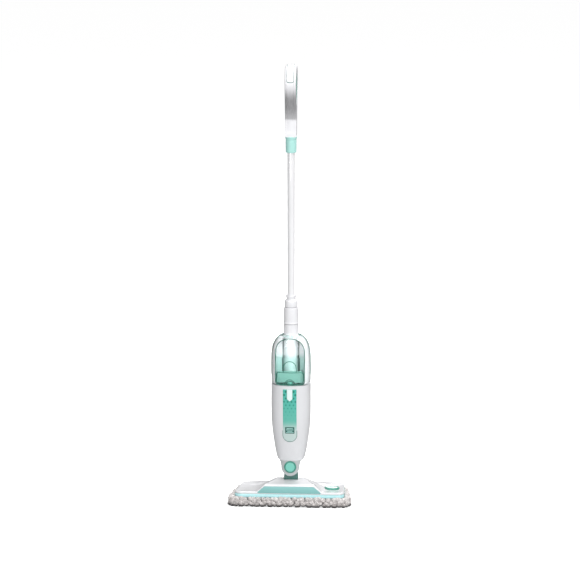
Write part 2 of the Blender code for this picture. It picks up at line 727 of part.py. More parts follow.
def inlay_panel(mats):
    panel = loft("inlay_panel", panel_rows(0, 0.0006, 0.0012), mats["deep_teal"])
    slot = loft("lens_slot", lens_rows(CLEARANCE, 0.006, 0.006), mats["deep_teal"])
    above = box("lens_slot_top", (-LENS_HALF - CLEARANCE, -0.070, LENS_TOP - 0.002),
                (LENS_HALF + CLEARANCE, -0.030, PANEL_TOP + 0.004), mats["deep_teal"])
    return cut(panel, slot, above)


def boiler(mats):
    block = prism("boiler", rounded([(-0.020, -0.016), (0.020, -0.016), (0.020, 0.014), (-0.020, 0.014)], 0.005),
                  "XY", 0.165, 0.2346, mats["alloy"])
    for i, z in enumerate(spaced(0.178, 0.222, 3)):
        rib_low, rib_high = (-0.0222, -0.0150, z - 0.0015), (0.0222, 0.0130, z + 0.0015)
        join(block, box(f"boiler_rib_{i}", rib_low, rib_high, mats["alloy"]))
    inlet = rod("boiler_inlet", 0.0036, 0.230, 0.2376, mats["alloy"], segments=16)
    outlet = rod("boiler_outlet", 0.0040, 0.1590, 0.170, mats["alloy"], segments=16)
    element_bore = rod("element_bore", 0.0037, 0.150, 0.225, mats["alloy"], centre=(0.0125, 0, 0), segments=16)
    chamber = rod("boiler_bore", 0.0020, 0.150, 0.250, mats["alloy"], segments=16)
    return cut(join(block, inlet, outlet), element_bore, chamber)


def pump_cylinder(mats):
    profile = [(0.0015, 0.2542), (0.0032, 0.2542), (0.0032, 0.2620), (0.0110, 0.2620), (0.0110, 0.3450),
               (0.0081, 0.3450), (0.0081, 0.2660), (0.0015, 0.2660)]
    cylinder = turned("pump_cylinder", profile, mats["grey"], segments=24)
    inlet = rod("pump_inlet", 0.0030, -0.0165, -0.0095, mats["grey"], "Y", (0, 0, 0.2760), segments=16)
    bore = rod("pump_inlet_bore", 0.0015, -0.0300, -0.0050, mats["grey"], "Y", (0, 0, 0.2760), segments=16)
    return cut(join(cylinder, inlet), bore)


def pump_rod(mats):
    profile = [(0, 0.3180), (0.0079, 0.3180), (0.0079, 0.3205), (0.0066, 0.3205), (0.0066, 0.3235), (0.0079, 0.3235),
               (0.0079, 0.3260), (0.0030, 0.3260), (0.0030, 0.4490), (0.0086, 0.4490), (0.0086, 0.4520),
               (0.0078, 0.4555), (0.0078, 0.4740), (0, 0.4740)]
    return turned("pump_rod", profile, mats["grey"], segments=24)


def tank_seat(mats):
    """Deck over the body's inside, with the cup that takes the tank's cap and the post that opens its valve."""
    half_width, front, back = interpolate(BODY_STATIONS, 0.328)
    rings = []
    for z in (0.3264, 0.3303):
        behind = arc_section(half_width, back, 1, 0, z, 17, 0.0034)
        before = arc_section(half_width, front, -1, 0, z, 17, 0.0034)
        rings.append(behind + before[::-1][1:-1])
    deck = loft("tank_seat", rings, mats["white"])
    cup = rod("seat_cup", 0.0134, 0.3150, 0.3290, mats["white"], centre=(0, CAP_Y, 0), segments=24)
    spout = rod("seat_spout", 0.0032, 0.3070, 0.3160, mats["white"], centre=(0, SPOUT_Y, 0), segments=12)
    bowl = rod("seat_bowl", 0.0112, 0.3175, 0.3400, mats["white"], centre=(0, CAP_Y, 0), segments=24)
    pump_hole = rod("seat_pump_hole", 0.0120, 0.3200, 0.3400, mats["white"], segments=24)
    post = rod("seat_post", 0.0016, 0.3165, 0.3208, mats["white"], centre=(0, CAP_Y, 0), segments=12)
    drain = rod("seat_drain", 0.0015, 0.3000, 0.3300, mats["white"], centre=(0, SPOUT_Y, 0), segments=8)
    return cut(join(cut(join(deck, cup, spout), bowl, pump_hole), post), drain)


def seat_seal(mats):
    profile = [(0.0086, 0.3178), (0.0108, 0.3178), (0.0108, 0.3193), (0.0100, 0.3200), (0.0086, 0.3196)]
    return turned("seat_seal", profile, mats["rubber"], centre=(0, CAP_Y, 0), segments=24)


def bay_frame(mats):
    """Neck column and the wall behind the tank, one moulding."""
    frame = rod("bay_frame", COLUMN_RADIUS, 0.3309, COLUMN_TOP, mats["white"], bore=COLUMN_BORE, segments=24)
    heights = [0.3330, 0.395, 0.415, 0.429, 0.439, 0.448, 0.455]
    halves = [interpolate(DOME_STATIONS, z)[0] - 0.0070 for z in heights]
    outline = list(zip(halves, heights)) + [(-half, z) for half, z in reversed(list(zip(halves, heights)))]
    wall = prism("bay_wall", outline, "XZ", 0.0098, 0.0122, mats["white"])
    bore = rod("bay_bore", COLUMN_BORE, 0.30, 0.50, mats["white"], segments=24)
    return cut(join(frame, wall), bore)


def hose(name, route, radius, mats):
    """Hose with straight ends."""
    path = [Vector(route[0]), *curve_through(route[1:-1], 4), Vector(route[-1])]
    return sweep(name, path, radius, mats["hose"])


def cord_gland(mats):
    profile = [(0.0034, 0.0220), (0.0056, 0.0220), (0.0056, 0.0378), (0.0084, 0.0378), (0.0084, 0.0405),
               (0.0066, 0.0440), (0.0034, 0.0440)]
    return turned("cord_gland", profile, mats["rubber"], "Y", (0, 0, GLAND_Z), segments=24)


def cord_hook(name, base_y, z, up, mats):
    """Round base, arm and lip that the cord is wound over. up is 1 or -1."""
    base = rod(name, 0.0085, base_y, base_y + 0.0032, mats["white"], "Y", (0, 0, z), segments=24)
    arm = [(base_y + 0.001, z - up * 0.0040), (base_y + 0.0255, z - up * 0.0040), (base_y + 0.0275, z + up * 0.0240),
           (base_y + 0.0235, z + up * 0.0240), (base_y + 0.0215, z + up * 0.0025), (base_y + 0.001, z + up * 0.0025)]
    return join(base, prism(name + "_arm", arm, "YZ", -0.006, 0.006, mats["white"]))


def control_board(mats):
    board = box("control_board", (-0.013, -0.0385, 0.246), (0.013, -0.0370, 0.3120), mats["board"])
    parts = [
        rod("board_led", 0.0021, -0.0445, -0.0380, mats["board"], "Y", (0, 0, 0.306), segments=12),
        box("board_relay", (-0.009, -0.0375, 0.248), (0.003, -0.0290, 0.259), mats["board"]),
        box("board_terminals", (-0.010, -0.0375, 0.262), (0.010, -0.0300, 0.269), mats["board"]),
        rod("board_capacitor", 0.0035, -0.0375, -0.0280, mats["board"], "Y", (0.0075, 0, 0.295), segments=12),
    ]
    return join(board, *parts)


# ---------------------------------------------------------------- neck top, pole and handle
def neck_collar(mats):
    low = COLUMN_TOP + CLEARANCE
    profile = [(0.0100, 0.5000), (0.0170, low), (NECK_RADIUS, low), (0.0197, 0.4960), (NECK_RADIUS, 0.4985),
               (0.0187, NECK_TOP), (0.0100, NECK_TOP)]
    return turned("neck_collar", profile, mats["white"], segments=24)


def wiper_collar(mats):
    low = NECK_TOP + CLEARANCE
    profile = [(0.0101, low), (0.0150, low), (0.0172, 0.5440), (0.0172, 0.5590), (0.0160, 0.5615), (0.0114, 0.5620),
               (0.0142, WIPER_TOP), (0.0128, WIPER_TOP), (0.0101, 0.5635)]
    return turned("wiper_collar", profile, mats["white"], segments=24)


def pole_tube(mats):
    tube = rod("pole_tube", POLE_RADIUS, POLE_BOTTOM, POLE_TOP, mats["pole"], bore=POLE_BORE, segments=24)
    hole = rod("pole_button_hole", 0.0033, 0.0, 0.02, mats["pole"], "Y", (0, 0, BUTTON_Z), segments=16)
    return cut(tube, hole)


def handle_collar(mats):
    profile = [(0.0100, COLLAR_BOTTOM), (0.0137, COLLAR_BOTTOM), (0.0143, 0.9685), (COLLAR_RADIUS, 1.0050),
               (0.0150, 1.0095), (0.0150, 1.0120), (0.0100, 1.0120)]
    collar = turned("handle_collar", profile, mats["teal"], segments=24)
    hole = rod("collar_button_hole", 0.0046, 0.0, 0.03, mats["teal"], "Y", (0, 0, BUTTON_Z), segments=20)
    return cut(collar, hole)


def pole_button(mats):
    profile = [(0, 0.0075), (0.0028, 0.0080), (0.0028, 0.0130), (0.0043, 0.0130), (0.0043, 0.0165), (0.0035, 0.0175),
               (0, 0.0178)]
    return turned("pole_button", profile, mats["white"], "Y", (0, 0, BUTTON_Z), segments=20)


def handle_outline():
    """Side view of the handle, counter-clockwise seen from +X: stem, and the loop above it."""
    back = [(0.0150, 1.045), (0.0215, 1.082), (0.0315, 1.118), (0.0395, 1.152), (0.0375, 1.184)]
    top = [(0.0240, 1.2035), (0.0020, 1.2100), (-0.0190, 1.2020)]
    front = [(-0.0310, 1.180), (-0.0325, 1.150), (-0.0260, 1.110), (-0.0185, 1.075), (-0.0150, 1.040)]
    loop = curve_through([(0.0150, 1.030), *back, *top, *front, (-0.0148, 1.020)], 3)
    return [(-0.0145, HANDLE_BOTTOM), (0.0145, HANDLE_BOTTOM)] + [tuple(p) for p in loop]


def opening_outline():
    points = [(0.0030, 1.0980), (0.0165, 1.1200), (0.0235, 1.1500), (0.0195, 1.1800), (0.0030, 1.1920),
              (-0.0125, 1.1800), (-0.0170, 1.1500), (-0.0110, 1.1200)]
    return [tuple(p) for p in curve_through(points, 3, closed=True)]


def sided(outline, steps, side):
    """Rings of an outline at distances from X 0, each with its own inset, for one half of the handle."""
    return [[Vector((side * x, u, v)) for u, v in offset(outline, -inset)] for x, inset in steps]


def handle_shell(name, side, mats):
    white = mats["white"]
    shell = loft(name, sided(handle_outline(), [(CLEARANCE / 2, 0), (0.0115, 0), (0.0143, 0.0010),
                                                (HANDLE_HALF_WIDTH, 0.0034)], side), white)
    inside = sided(handle_outline(), [(-0.001, HANDLE_WALL), (0.0108, HANDLE_WALL), (0.0130, 0.0045)], side)
    cavity = loft(name + "_cavity", inside, white)
    rim = prism(name + "_rim", offset(opening_outline(), HANDLE_WALL), "YZ", -0.02, 0.02, white)
    cut(cavity, rim)
    rim.hide_render = True
    opening = prism(name + "_opening", opening_outline(), "YZ", -0.03, 0.03, white)
    bore = rod(name + "_bore", 0.0101, 1.000, 1.0190, white, segments=24)
    pocket = trim_strip(name + "_pocket", CLEARANCE, mats)
    return cut(shell, cavity, opening, bore, pocket)


def handle_grip(mats):
    """Soft lining round the inside of the loop."""
    outer = offset(opening_outline(), -CLEARANCE)
    grip = prism("handle_grip", outer, "YZ", -0.0125, 0.0125, mats["teal"])
    inner = prism("grip_inner", offset(outer, -0.0020), "YZ", -0.02, 0.02, mats["teal"])
    return cut(grip, inner)


def trim_path():
    """Middle of the handle's outer edge, from the front of the loop over its top."""
    outline = [p for p in handle_outline()]
    return [p for p in outline if p[1] > 1.163 and p[0] < 0.030]


def trim_strip(name, grow, mats):
    path = trim_path()
    half = 0.0098 + grow
    rings = []
    for i, (y, z) in enumerate(path):
        ahead, behind = path[min(i + 1, len(path) - 1)], path[max(i - 1, 0)]
        along = Vector((ahead[0] - behind[0], ahead[1] - behind[1])).normalized()
        normal = Vector((along.y, -along.x))
        start, end = (i == 0), (i == len(path) - 1)
        slide = along * (grow * (end - start))
        out = Vector((y, z)) + slide + normal * (0.0003 + grow * 8)
        deep = Vector((y, z)) + slide - normal * (0.0013 + grow)
        rings.append([Vector((-half, *out)), Vector((half, *out)), Vector((half, *deep)), Vector((-half, *deep))])
    return loft(name, rings, mats["white"])


# ---------------------------------------------------------------- tank
def tank_rings(inset, low, high, back_y):
    rings = []
    for z in low + high:
        half_width, front = interpolate(TANK_STATIONS, z)
        front_arc = arc_section(half_width, front, -1, 0, z, 17, inset)
        back_reach = 0.0420 - inset
        end_angle = math.asin((back_y / back_reach) ** (SECTION_POWER / 2))
        side_arc = []
        for step in (1, 0.5):
            angle = end_angle * step
            x = math.cos(angle) ** (2 / SECTION_POWER) * (half_width - inset)
            side_arc.append((x, math.sin(angle) ** (2 / SECTION_POWER) * back_reach))
        right = [Vector((x, y, z)) for x, y in side_arc]
        left = [Vector((-x, y, z)) for x, y in reversed(side_arc)]
        rings.append(right + front_arc + left)
    return rings


def channel_outline(grow):
    radius = 0.0216 + grow
    arc = [(radius * math.cos(a), radius * math.sin(a)) for a in spaced(math.pi, 2 * math.pi, 13)]
    return arc + [(radius, 0.030), (-radius, 0.030)]


def tank_shell(mats):
    clear = mats["tank"]
    heights = [s[0] for s in TANK_STATIONS]
    shell = loft("tank_shell", tank_rings(0, heights[:4], [0.416] + heights[4:], TANK_BACK_Y), clear)
    cut(shell, prism("tank_channel", channel_outline(0), "XY", 0.30, 0.50, clear))
    inside = tank_rings(TANK_WALL, [0.3336, 0.3370, 0.3450, 0.400], [0.416, 0.429, 0.446, 0.457, 0.4640],
                        TANK_BACK_Y - TANK_WALL)
    cavity = loft("tank_cavity", inside, clear)
    cut(cavity, prism("cavity_channel", channel_outline(TANK_WALL), "XY", 0.30, 0.50, clear))
    cut(shell, cavity)
    rim = rod("tank_rim", 0.0110, 0.3325, 0.3425, clear, centre=(0, CAP_Y, 0), segments=24)
    hole = rod("tank_hole", CAP_HOLE_RADIUS, 0.320, 0.350, clear, centre=(0, CAP_Y, 0), segments=24)
    return cut(join(shell, rim), hole)


def tank_cap(mats):
    profile = [(0.0026, 0.3212), (0.0098, 0.3212), (0.0104, 0.3220), (0.0104, 0.3308), (0.0083, 0.3308),
               (0.0083, 0.3400), (0.0054, 0.3400), (0.0054, 0.3236), (0.0026, 0.3236)]
    cap = turned("tank_cap", profile, mats["teal"], centre=(0, CAP_Y, 0), segments=24)
    return cap


def valve_plunger(mats):
    profile = [(0, 0.3213), (0.0020, 0.3213), (0.0020, 0.3240), (0.0046, 0.3240), (0.0046, 0.3258), (0.0016, 0.3262),
               (0.0016, 0.3345), (0, 0.3350)]
    return turned("valve_plunger", profile, mats["grey"], centre=(0, CAP_Y, 0), segments=20)


# ---------------------------------------------------------------- assembly
def pivot(name, place, parent=None):
    empty = bpy.data.objects.new(name, None)
    bpy.context.scene.collection.objects.link(empty)
    empty.location = Vector(place) - (parent["place"] if parent else Vector())
    if parent:
        empty.parent = parent["empty"]
    return {"empty": empty, "place": Vector(place)}


def carry(holder, *objects):
    """Hangs objects and the helpers that shape them on a pivot, with their origins on it and their shapes unmoved."""
    for obj in objects:
        obj.data.transform(Matrix.Translation(-holder["place"]))
        obj.parent = holder["empty"]
        carry(holder, *[modifier.object for modifier in obj.modifiers])
    return holder


def build_head(mats):
    head = pivot("head_pivot", (0, 0, 0))
    carry(head, cleaning_pad(mats), base_plate(mats), bumper_strip(mats), head_cover(mats), pivot_bracket(mats))
    panel = prism("front_panel", panel_outline(0), "XZ", -0.0716, -0.0709, mats["teal"])
    carry(head, panel, steam_manifold(mats), head_hose(mats))
    for i, (x, y) in enumerate(screw_places()):
        carry(head, head_screw(f"head_screw_{i + 1}", x, y, mats))
    spring = coil("pedal_spring", 0.0060, 0.0005, PLATE_TOP + CLEARANCE, 0.0319, 3, mats["steel"], (PEDAL_X, 0))
    carry(head, spring)
    carry(pivot("pedal_pivot", (PEDAL_X, 0, 0.0337), head), pad_pedal(mats))
    return head


def build_body(mats, neck):
    body = pivot("swivel_pivot", (0, 0, SWIVEL_Z), neck)
    carry(body, front_shell(mats), rear_shell(mats), swivel_pin(mats), swivel_cap(mats), inlay_panel(mats))
    lens = loft("indicator_lens", lens_rows(0, 0.0016, 0.0010), mats["lens"])
    carry(body, lens, control_board(mats), boiler(mats))
    element = rod("heating_element", 0.0035, 0.1560, 0.2240, mats["steel"], centre=(0.0125, 0, 0), segments=16)
    thermostat = turned("thermostat", [(0, -0.0245), (0.0070, -0.0245), (0.0080, -0.0235), (0.0080, -0.0166),
                                       (0, -0.0166)], mats["brass"], "Y", (0, 0, 0.200), segments=24)
    carry(body, element, thermostat, pump_cylinder(mats))
    cap = rod("cylinder_cap", 0.0110, 0.3453, 0.3485, mats["grey"], bore=0.0033, segments=24)
    valve = turned("check_valve", [(0.0015, 0.2379), (0.0040, 0.2379), (0.0040, 0.2410), (0.0060, 0.2410),
                                   (0.0060, 0.2505), (0.0040, 0.2505), (0.0040, 0.2539), (0.0015, 0.2539)],
                   mats["brass"], segments=16)
    carry(body, cap, valve, bay_frame(mats), tank_seat(mats), seat_seal(mats))
    suction = hose("suction_hose", [(0, SPOUT_Y, 0.3067), (0, SPOUT_Y, 0.3030), (0, SPOUT_Y - 0.0002, 0.2880),
                                    (0, -0.0250, 0.2765), (0, -0.0195, 0.2760), (0, -0.0168, 0.2760)],
                   0.0034, mats)
    steam = hose("steam_hose", [(0, 0, 0.1587), (0, 0, 0.1550), (-0.0060, 0, 0.1380), (0, 0, 0.1235), (0, 0, 0.1205)],
                 0.0034, mats)
    carry(body, suction, steam, cord_gland(mats), neck_collar(mats), wiper_collar(mats))
    carry(body, cord_hook("lower_cord_hook", 0.0438, LOWER_HOOK_Z, -1, mats))
    terminals = box("terminal_block", (-0.010, 0.0060, 0.1440), (0.010, 0.0180, 0.1560), mats["lens"])
    carry(body, terminals)
    count = 0
    for x, z in BODY_SCREWS:
        for side in (-1, 1):
            count += 1
            carry(body, body_screw(f"body_screw_{count}", side * x, z, screw_seat(x, z), mats))
    return body


def build_pole(mats, body):
    pole = pivot("pump_pivot", (0, 0, NECK_TOP), body)
    seal = turned("piston_seal", [(0.0067, 0.3208), (0.00805, 0.3208), (0.00805, 0.3232), (0.0067, 0.3232)],
                  mats["rubber"], segments=24)
    spring = coil("pump_spring", 0.0060, 0.0007, 0.3488, 0.4487, 6, mats["steel"])
    carry(pole, pole_tube(mats), pump_rod(mats), seal, spring, handle_collar(mats))
    carry(pole, handle_shell("handle_shell_left", -1, mats), handle_shell("handle_shell_right", 1, mats))
    carry(pole, handle_grip(mats), trim_strip("handle_trim", 0, mats))
    carry(pivot("button_pivot", (0, 0.0165, BUTTON_Z), pole), pole_button(mats))
    carry(pivot("hook_pivot", (0, 0.0155, HOOK_Z), pole), cord_hook("upper_cord_hook", 0.0158, HOOK_Z, 1, mats))
    return pole


def build_tank(mats, body):
    tank = pivot("tank_pivot", (0, 0, TANK_BOTTOM), body)
    carry(tank, tank_shell(mats))
    cap = pivot("cap_pivot", (0, CAP_Y, 0.3260), tank)
    spring = coil("valve_spring", 0.0034, 0.0004, 0.3263, 0.3362, 3, mats["steel"], (0, CAP_Y))
    retainer = rod("valve_retainer", 0.0053, 0.3366, 0.3384, mats["grey"], centre=(0, CAP_Y, 0), bore=0.0021,
                   segments=20)
    carry(cap, tank_cap(mats), spring, retainer)
    carry(pivot("valve_pivot", (0, CAP_Y, 0.3240), cap), valve_plunger(mats))


def main():
    for obj in list(bpy.data.objects):
        bpy.data.objects.remove(obj, do_unlink=True)
    mats = make_materials()
    head = build_head(mats)
    neck = carry(pivot("pitch_pivot", (0, 0, PITCH_Z), head), neck_yoke(mats), pitch_pin(mats))
    body = build_body(mats, neck)
    build_pole(mats, body)
    build_tank(mats, body)


main()
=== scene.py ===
"""Looks of the steam mop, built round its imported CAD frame. Metres, +Z up, front towards -Y."""

import math

import bmesh
import bpy
from mathutils import Matrix, Vector, noise


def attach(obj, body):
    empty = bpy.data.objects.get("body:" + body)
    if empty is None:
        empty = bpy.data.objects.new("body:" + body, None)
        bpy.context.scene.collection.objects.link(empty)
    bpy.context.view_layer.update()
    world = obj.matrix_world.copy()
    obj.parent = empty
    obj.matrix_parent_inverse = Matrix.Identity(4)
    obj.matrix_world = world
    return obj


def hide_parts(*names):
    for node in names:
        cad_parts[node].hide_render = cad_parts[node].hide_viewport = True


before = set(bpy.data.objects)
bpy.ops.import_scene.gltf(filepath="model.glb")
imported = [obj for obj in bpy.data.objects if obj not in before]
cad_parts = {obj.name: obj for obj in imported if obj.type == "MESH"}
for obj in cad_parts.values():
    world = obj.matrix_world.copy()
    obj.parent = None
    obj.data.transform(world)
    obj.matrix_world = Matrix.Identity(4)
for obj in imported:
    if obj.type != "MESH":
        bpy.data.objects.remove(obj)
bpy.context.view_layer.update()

SWIVEL_Z = 0.1015
PITCH_Z = 0.046
POWER = 2.5
TANK_BOTTOM = 0.3313
CAP_Y = -0.0345
HOOK_Z = 1.030
LOWER_HOOK_Z = 0.235
GLAND_Z = 0.150
PEDAL_X = 0.112

BODY_STATIONS = [
    (0.118, 0.0335, 0.0335, 0.0285),
    (0.127, 0.0380, 0.0355, 0.0305),
    (0.163, 0.0450, 0.0410, 0.0345),
    (0.226, 0.0525, 0.0480, 0.0395),
    (0.331, 0.0535, 0.0515, 0.0420),
]
DOME_STATIONS = [
    (0.331, 0.0535, 0.0515, 0.0420),
    (0.395, 0.0530, 0.0515, 0.0410),
    (0.429, 0.0505, 0.0505, 0.0385),
    (0.446, 0.0445, 0.0490, 0.0340),
    (0.457, 0.0360, 0.0470, 0.0280),
    (0.463, 0.0237, 0.0440, 0.0237),
]
TANK_STATIONS = [
    (0.3313, 0.0490, 0.0475),
    (0.3350, 0.0522, 0.0505),
    (0.3450, 0.0532, 0.0515),
    (0.4000, 0.0532, 0.0517),
    (0.4290, 0.0508, 0.0510),
    (0.4460, 0.0447, 0.0495),
    (0.4570, 0.0365, 0.0475),
    (0.4650, 0.0255, 0.0445),
    (0.4685, 0.0150, 0.0400),
]
COVER_PROFILE = [
    (-0.080, 0.0540),
    (-0.070, 0.0578),
    (-0.063, 0.0600),
    (-0.056, 0.0606),
    (-0.040, 0.0616),
    (-0.018, 0.0638),
    (0.000, 0.0650),
    (0.018, 0.0605),
    (0.036, 0.0510),
    (0.052, 0.0430),
    (0.066, 0.0400),
    (0.080, 0.0390),
]


# ---------------------------------------------------------------- materials
def srgb(r, g, b):
    """Linear colour of 0-255 display values."""
    return tuple(((c / 255 + 0.055) / 1.055) ** 2.4 if c > 10 else c / 255 / 12.92 for c in (r, g, b))


class Finish:
    """A Principled material with helpers that add nodes to it."""

    def __init__(self, name, colour, roughness, **sockets):
        self.material = bpy.data.materials.new(name)
        self.material.use_nodes = True
        self.nodes, self.links = self.material.node_tree.nodes, self.material.node_tree.links
        self.shader = self.nodes["Principled BSDF"]
        self.shader.inputs["Base Color"].default_value = (*colour, 1)
        self.shader.inputs["Roughness"].default_value = roughness
        for socket, value in sockets.items():
            self.shader.inputs[socket.replace("_", " ")].default_value = value
        self.point = self.nodes.new("ShaderNodeTexCoord").outputs["Object"]

    def math(self, operation, a, b=0.0):
        node = self.nodes.new("ShaderNodeMath")
        node.operation = operation
        for socket, value in zip(node.inputs, (a, b)):
            if isinstance(value, (int, float)):
                socket.default_value = value
            else:
                self.links.new(value, socket)
        return node.outputs[0]

    def noise(self, scale, detail=3.0, roughness=0.55, stretch=None):
        node = self.nodes.new("ShaderNodeTexNoise")
        node.inputs["Scale"].default_value = scale
        node.inputs["Detail"].default_value = detail
        node.inputs["Roughness"].default_value = roughness
        point = self.point
        if stretch:
            mapping = self.nodes.new("ShaderNodeMapping")
            mapping.inputs["Scale"].default_value = stretch
            self.links.new(point, mapping.inputs["Vector"])
            point = mapping.outputs[0]
        self.links.new(point, node.inputs["Vector"])
        return node.outputs["Fac"]

    def spread(self, value, low, high, to_low, to_high, smooth=False):
        node = self.nodes.new("ShaderNodeMapRange")
        node.interpolation_type = "SMOOTHSTEP" if smooth else "LINEAR"
        for socket, number in zip(("From Min", "From Max", "To Min", "To Max"), (low, high, to_low, to_high)):
            node.inputs[socket].default_value = number
        self.links.new(value, node.inputs["Value"])
        return node.outputs[0]

    def mix(self, factor, a, b):
        node = self.nodes.new("ShaderNodeMix")
        node.data_type = "RGBA"
        self.links.new(factor, node.inputs["Factor"])
        for socket, value in ((node.inputs[6], a), (node.inputs[7], b)):
            if isinstance(value, tuple):
                socket.default_value = (*value, 1)
            else:
                self.links.new(value, socket)
        return node.outputs[2]

    def paint(self, value):
        self.links.new(value, self.shader.inputs["Base Color"])
        return self

    def rough(self, value):
        self.links.new(value, self.shader.inputs["Roughness"])
        return self

    def bump(self, value, distance, strength=1.0):
        node = self.nodes.new("ShaderNodeBump")
        node.inputs["Distance"].default_value = distance
        node.inputs["Strength"].default_value = strength
        self.links.new(value, node.inputs["Height"])
        self.links.new(node.outputs[0], self.shader.inputs["Normal"])
        return self

    def axis(self, name):
        node = self.nodes.new("ShaderNodeSeparateXYZ")
        self.links.new(self.point, node.inputs[0])
        return node.outputs[name]


def moulded(name, colour, roughness=0.28, tint=0.975, coat=0.25):
    """Injection-moulded plastic: faint mottling, uneven polish and a very fine skin."""
    made = Finish(name, colour, roughness, Coat_Weight=coat, Coat_Roughness=0.12)
    shade = tuple(c * tint for c in colour)
    made.paint(made.mix(made.spread(made.noise(12, 3), 0.35, 0.65, 0, 1), colour, shade))
    made.rough(made.spread(made.noise(30, 2), 0.3, 0.7, roughness - 0.02, roughness + 0.03))
    return made.bump(made.noise(1400, 2), 0.00003, 0.5)


def metal(name, colour, roughness, stretch=(1, 1, 1)):
    made = Finish(name, colour, roughness, Metallic=1.0)
    made.rough(made.spread(made.noise(260, 4, stretch=stretch), 0.3, 0.7, roughness - 0.08, roughness + 0.12))
    made.paint(made.mix(made.noise(40, 3), tuple(c * 0.86 for c in colour), colour))
    return made.bump(made.noise(900, 2, stretch=stretch), 0.00002, 0.5)


WHITE = srgb(238, 238, 241)
TEAL = srgb(124, 203, 187)


def make_finishes():
    made = {
        "white": moulded("white_plastic", WHITE, 0.24),
        "body": moulded("body_plastic", srgb(229, 230, 233), 0.24),
        # nose: the housing's white darkened to grey, painted shade on the curved nose bosses
        "nose": moulded("nose_white_painted_shade", srgb(184, 189, 190), 0.3),
        "collar": moulded("teal_collar", srgb(176, 228, 221), 0.3),
        "teal": moulded("teal_plastic", TEAL, 0.28),
        "teal_dark": moulded("teal_shade", srgb(70, 146, 130), 0.35),
        "milky": moulded("milky_aqua", srgb(150, 188, 180), 0.5, coat=0.0),
        "badge": moulded("badge_plate", srgb(54, 104, 95), 0.4, coat=0.0),
        # bead: opaque dark teal, painted shade for the dark edges of the clear tank's ridges and flanks
        "bead": moulded("clear_edge_painted_shade", srgb(52, 112, 98), 0.25),
        # outline: dark grey-green painted shade for seams, under the inlay's lower end and round the handle's
        # trim panel
        "outline": moulded("seam_painted_shade", srgb(92, 132, 124), 0.4, coat=0.0),
        # yoke: teal darkened as painted shade, for the shadow under the nose
        "yoke": moulded("yoke_teal_painted_shade", srgb(70, 116, 108), 0.45),
        "panel": moulded("teal_panel", srgb(141, 198, 196), 0.42, tint=0.97, coat=0.1),
        "strip": moulded("aqua_strip", srgb(190, 238, 242), 0.3, tint=0.97),
        "lens": moulded("lens_milky", srgb(233, 250, 248), 0.18),
        "grey": moulded("inner_grey", srgb(150, 152, 155), 0.5, coat=0.0),
        "rubber": moulded("black_rubber", srgb(38, 38, 40), 0.7, coat=0.0),
        "hose": moulded("hose_silicone", srgb(226, 222, 214), 0.5, coat=0.0),
        "board": moulded("board_green", srgb(30, 105, 66), 0.45),
        "steel": metal("steel", (0.62, 0.62, 0.63), 0.28, (1, 8, 1)),
        "brass": metal("brass", (0.80, 0.60, 0.28), 0.3),
        "alloy": metal("boiler_alloy", (0.66, 0.67, 0.68), 0.45),
    }
    made["pole"] = moulded("pole_enamel", srgb(246, 246, 248), 0.2, coat=1.0)
    made["pole"].shader.inputs["Coat IOR"].default_value = 2.3
    made["pole"].shader.inputs["Coat Roughness"].default_value = 0.05
    for name, index in (("white", 1.7), ("body", 1.9), ("nose", 1.9)):
        made[name].shader.inputs["Coat Weight"].default_value = 0.8
        made[name].shader.inputs["Coat IOR"].default_value = index
    made["inlay"] = inlay_finish()
    # grip and shade: white with painted shade in grey down the front of the handle grip
    made["grip"] = grip_painted_shade_finish("grip_shell_painted_shade", 0.24)
    made["shade"] = grip_painted_shade_finish("grip_strip", 0.4)
    made["tank"] = clear_finish("tank_clear", (0.12, 0.62, 0.54), 16, 1.22)
    made["water"] = clear_finish("tank_water", (0.10, 0.66, 0.54), 9, 1.10)
    made["fabric"] = fabric_finish()
    return made


def inlay_finish():
    """Teal print that fades to pale at the bottom, with staggered dots that shrink downwards."""
    made = Finish("inlay_print", TEAL, 0.3, Coat_Weight=0.4, Coat_Roughness=0.08)
    x, z = made.axis("X"), made.axis("Z")
    top = made.mix(made.spread(z, 0.235, 0.315, 0, 1), srgb(100, 188, 172), srgb(70, 182, 166))
    base = made.mix(made.spread(z, 0.200, 0.236, 0, 1, smooth=True), srgb(197, 216, 213), top)
    u, v = made.math("DIVIDE", x, 0.0104), made.math("DIVIDE", z, 0.0094)
    row = made.math("FLOOR", v)
    shift = made.math("MULTIPLY", made.math("FLOORED_MODULO", row, 2.0), 0.5)
    across = made.math("SUBTRACT", made.math("FRACT", made.math("ADD", u, shift)), 0.5)
    along = made.math("SUBTRACT", made.math("FRACT", v), 0.5)
    across, along = made.math("MULTIPLY", across, 0.0104), made.math("MULTIPLY", along, 0.0094)
    away = made.math(
        "SQRT", made.math("ADD", made.math("MULTIPLY", across, across), made.math("MULTIPLY", along, along))
    )
    radius = made.spread(z, 0.225, 0.318, 0.0002, 0.0036)
    inside = made.spread(made.math("SUBTRACT", radius, away), -0.0003, 0.0005, 0, 1, smooth=True)
    dark = made.mix(made.spread(z, 0.225, 0.290, 0, 1), srgb(78, 168, 150), srgb(22, 132, 112))
    made.paint(made.mix(inside, base, dark))
    return made.bump(made.noise(1400, 2), 0.00002, 0.4)


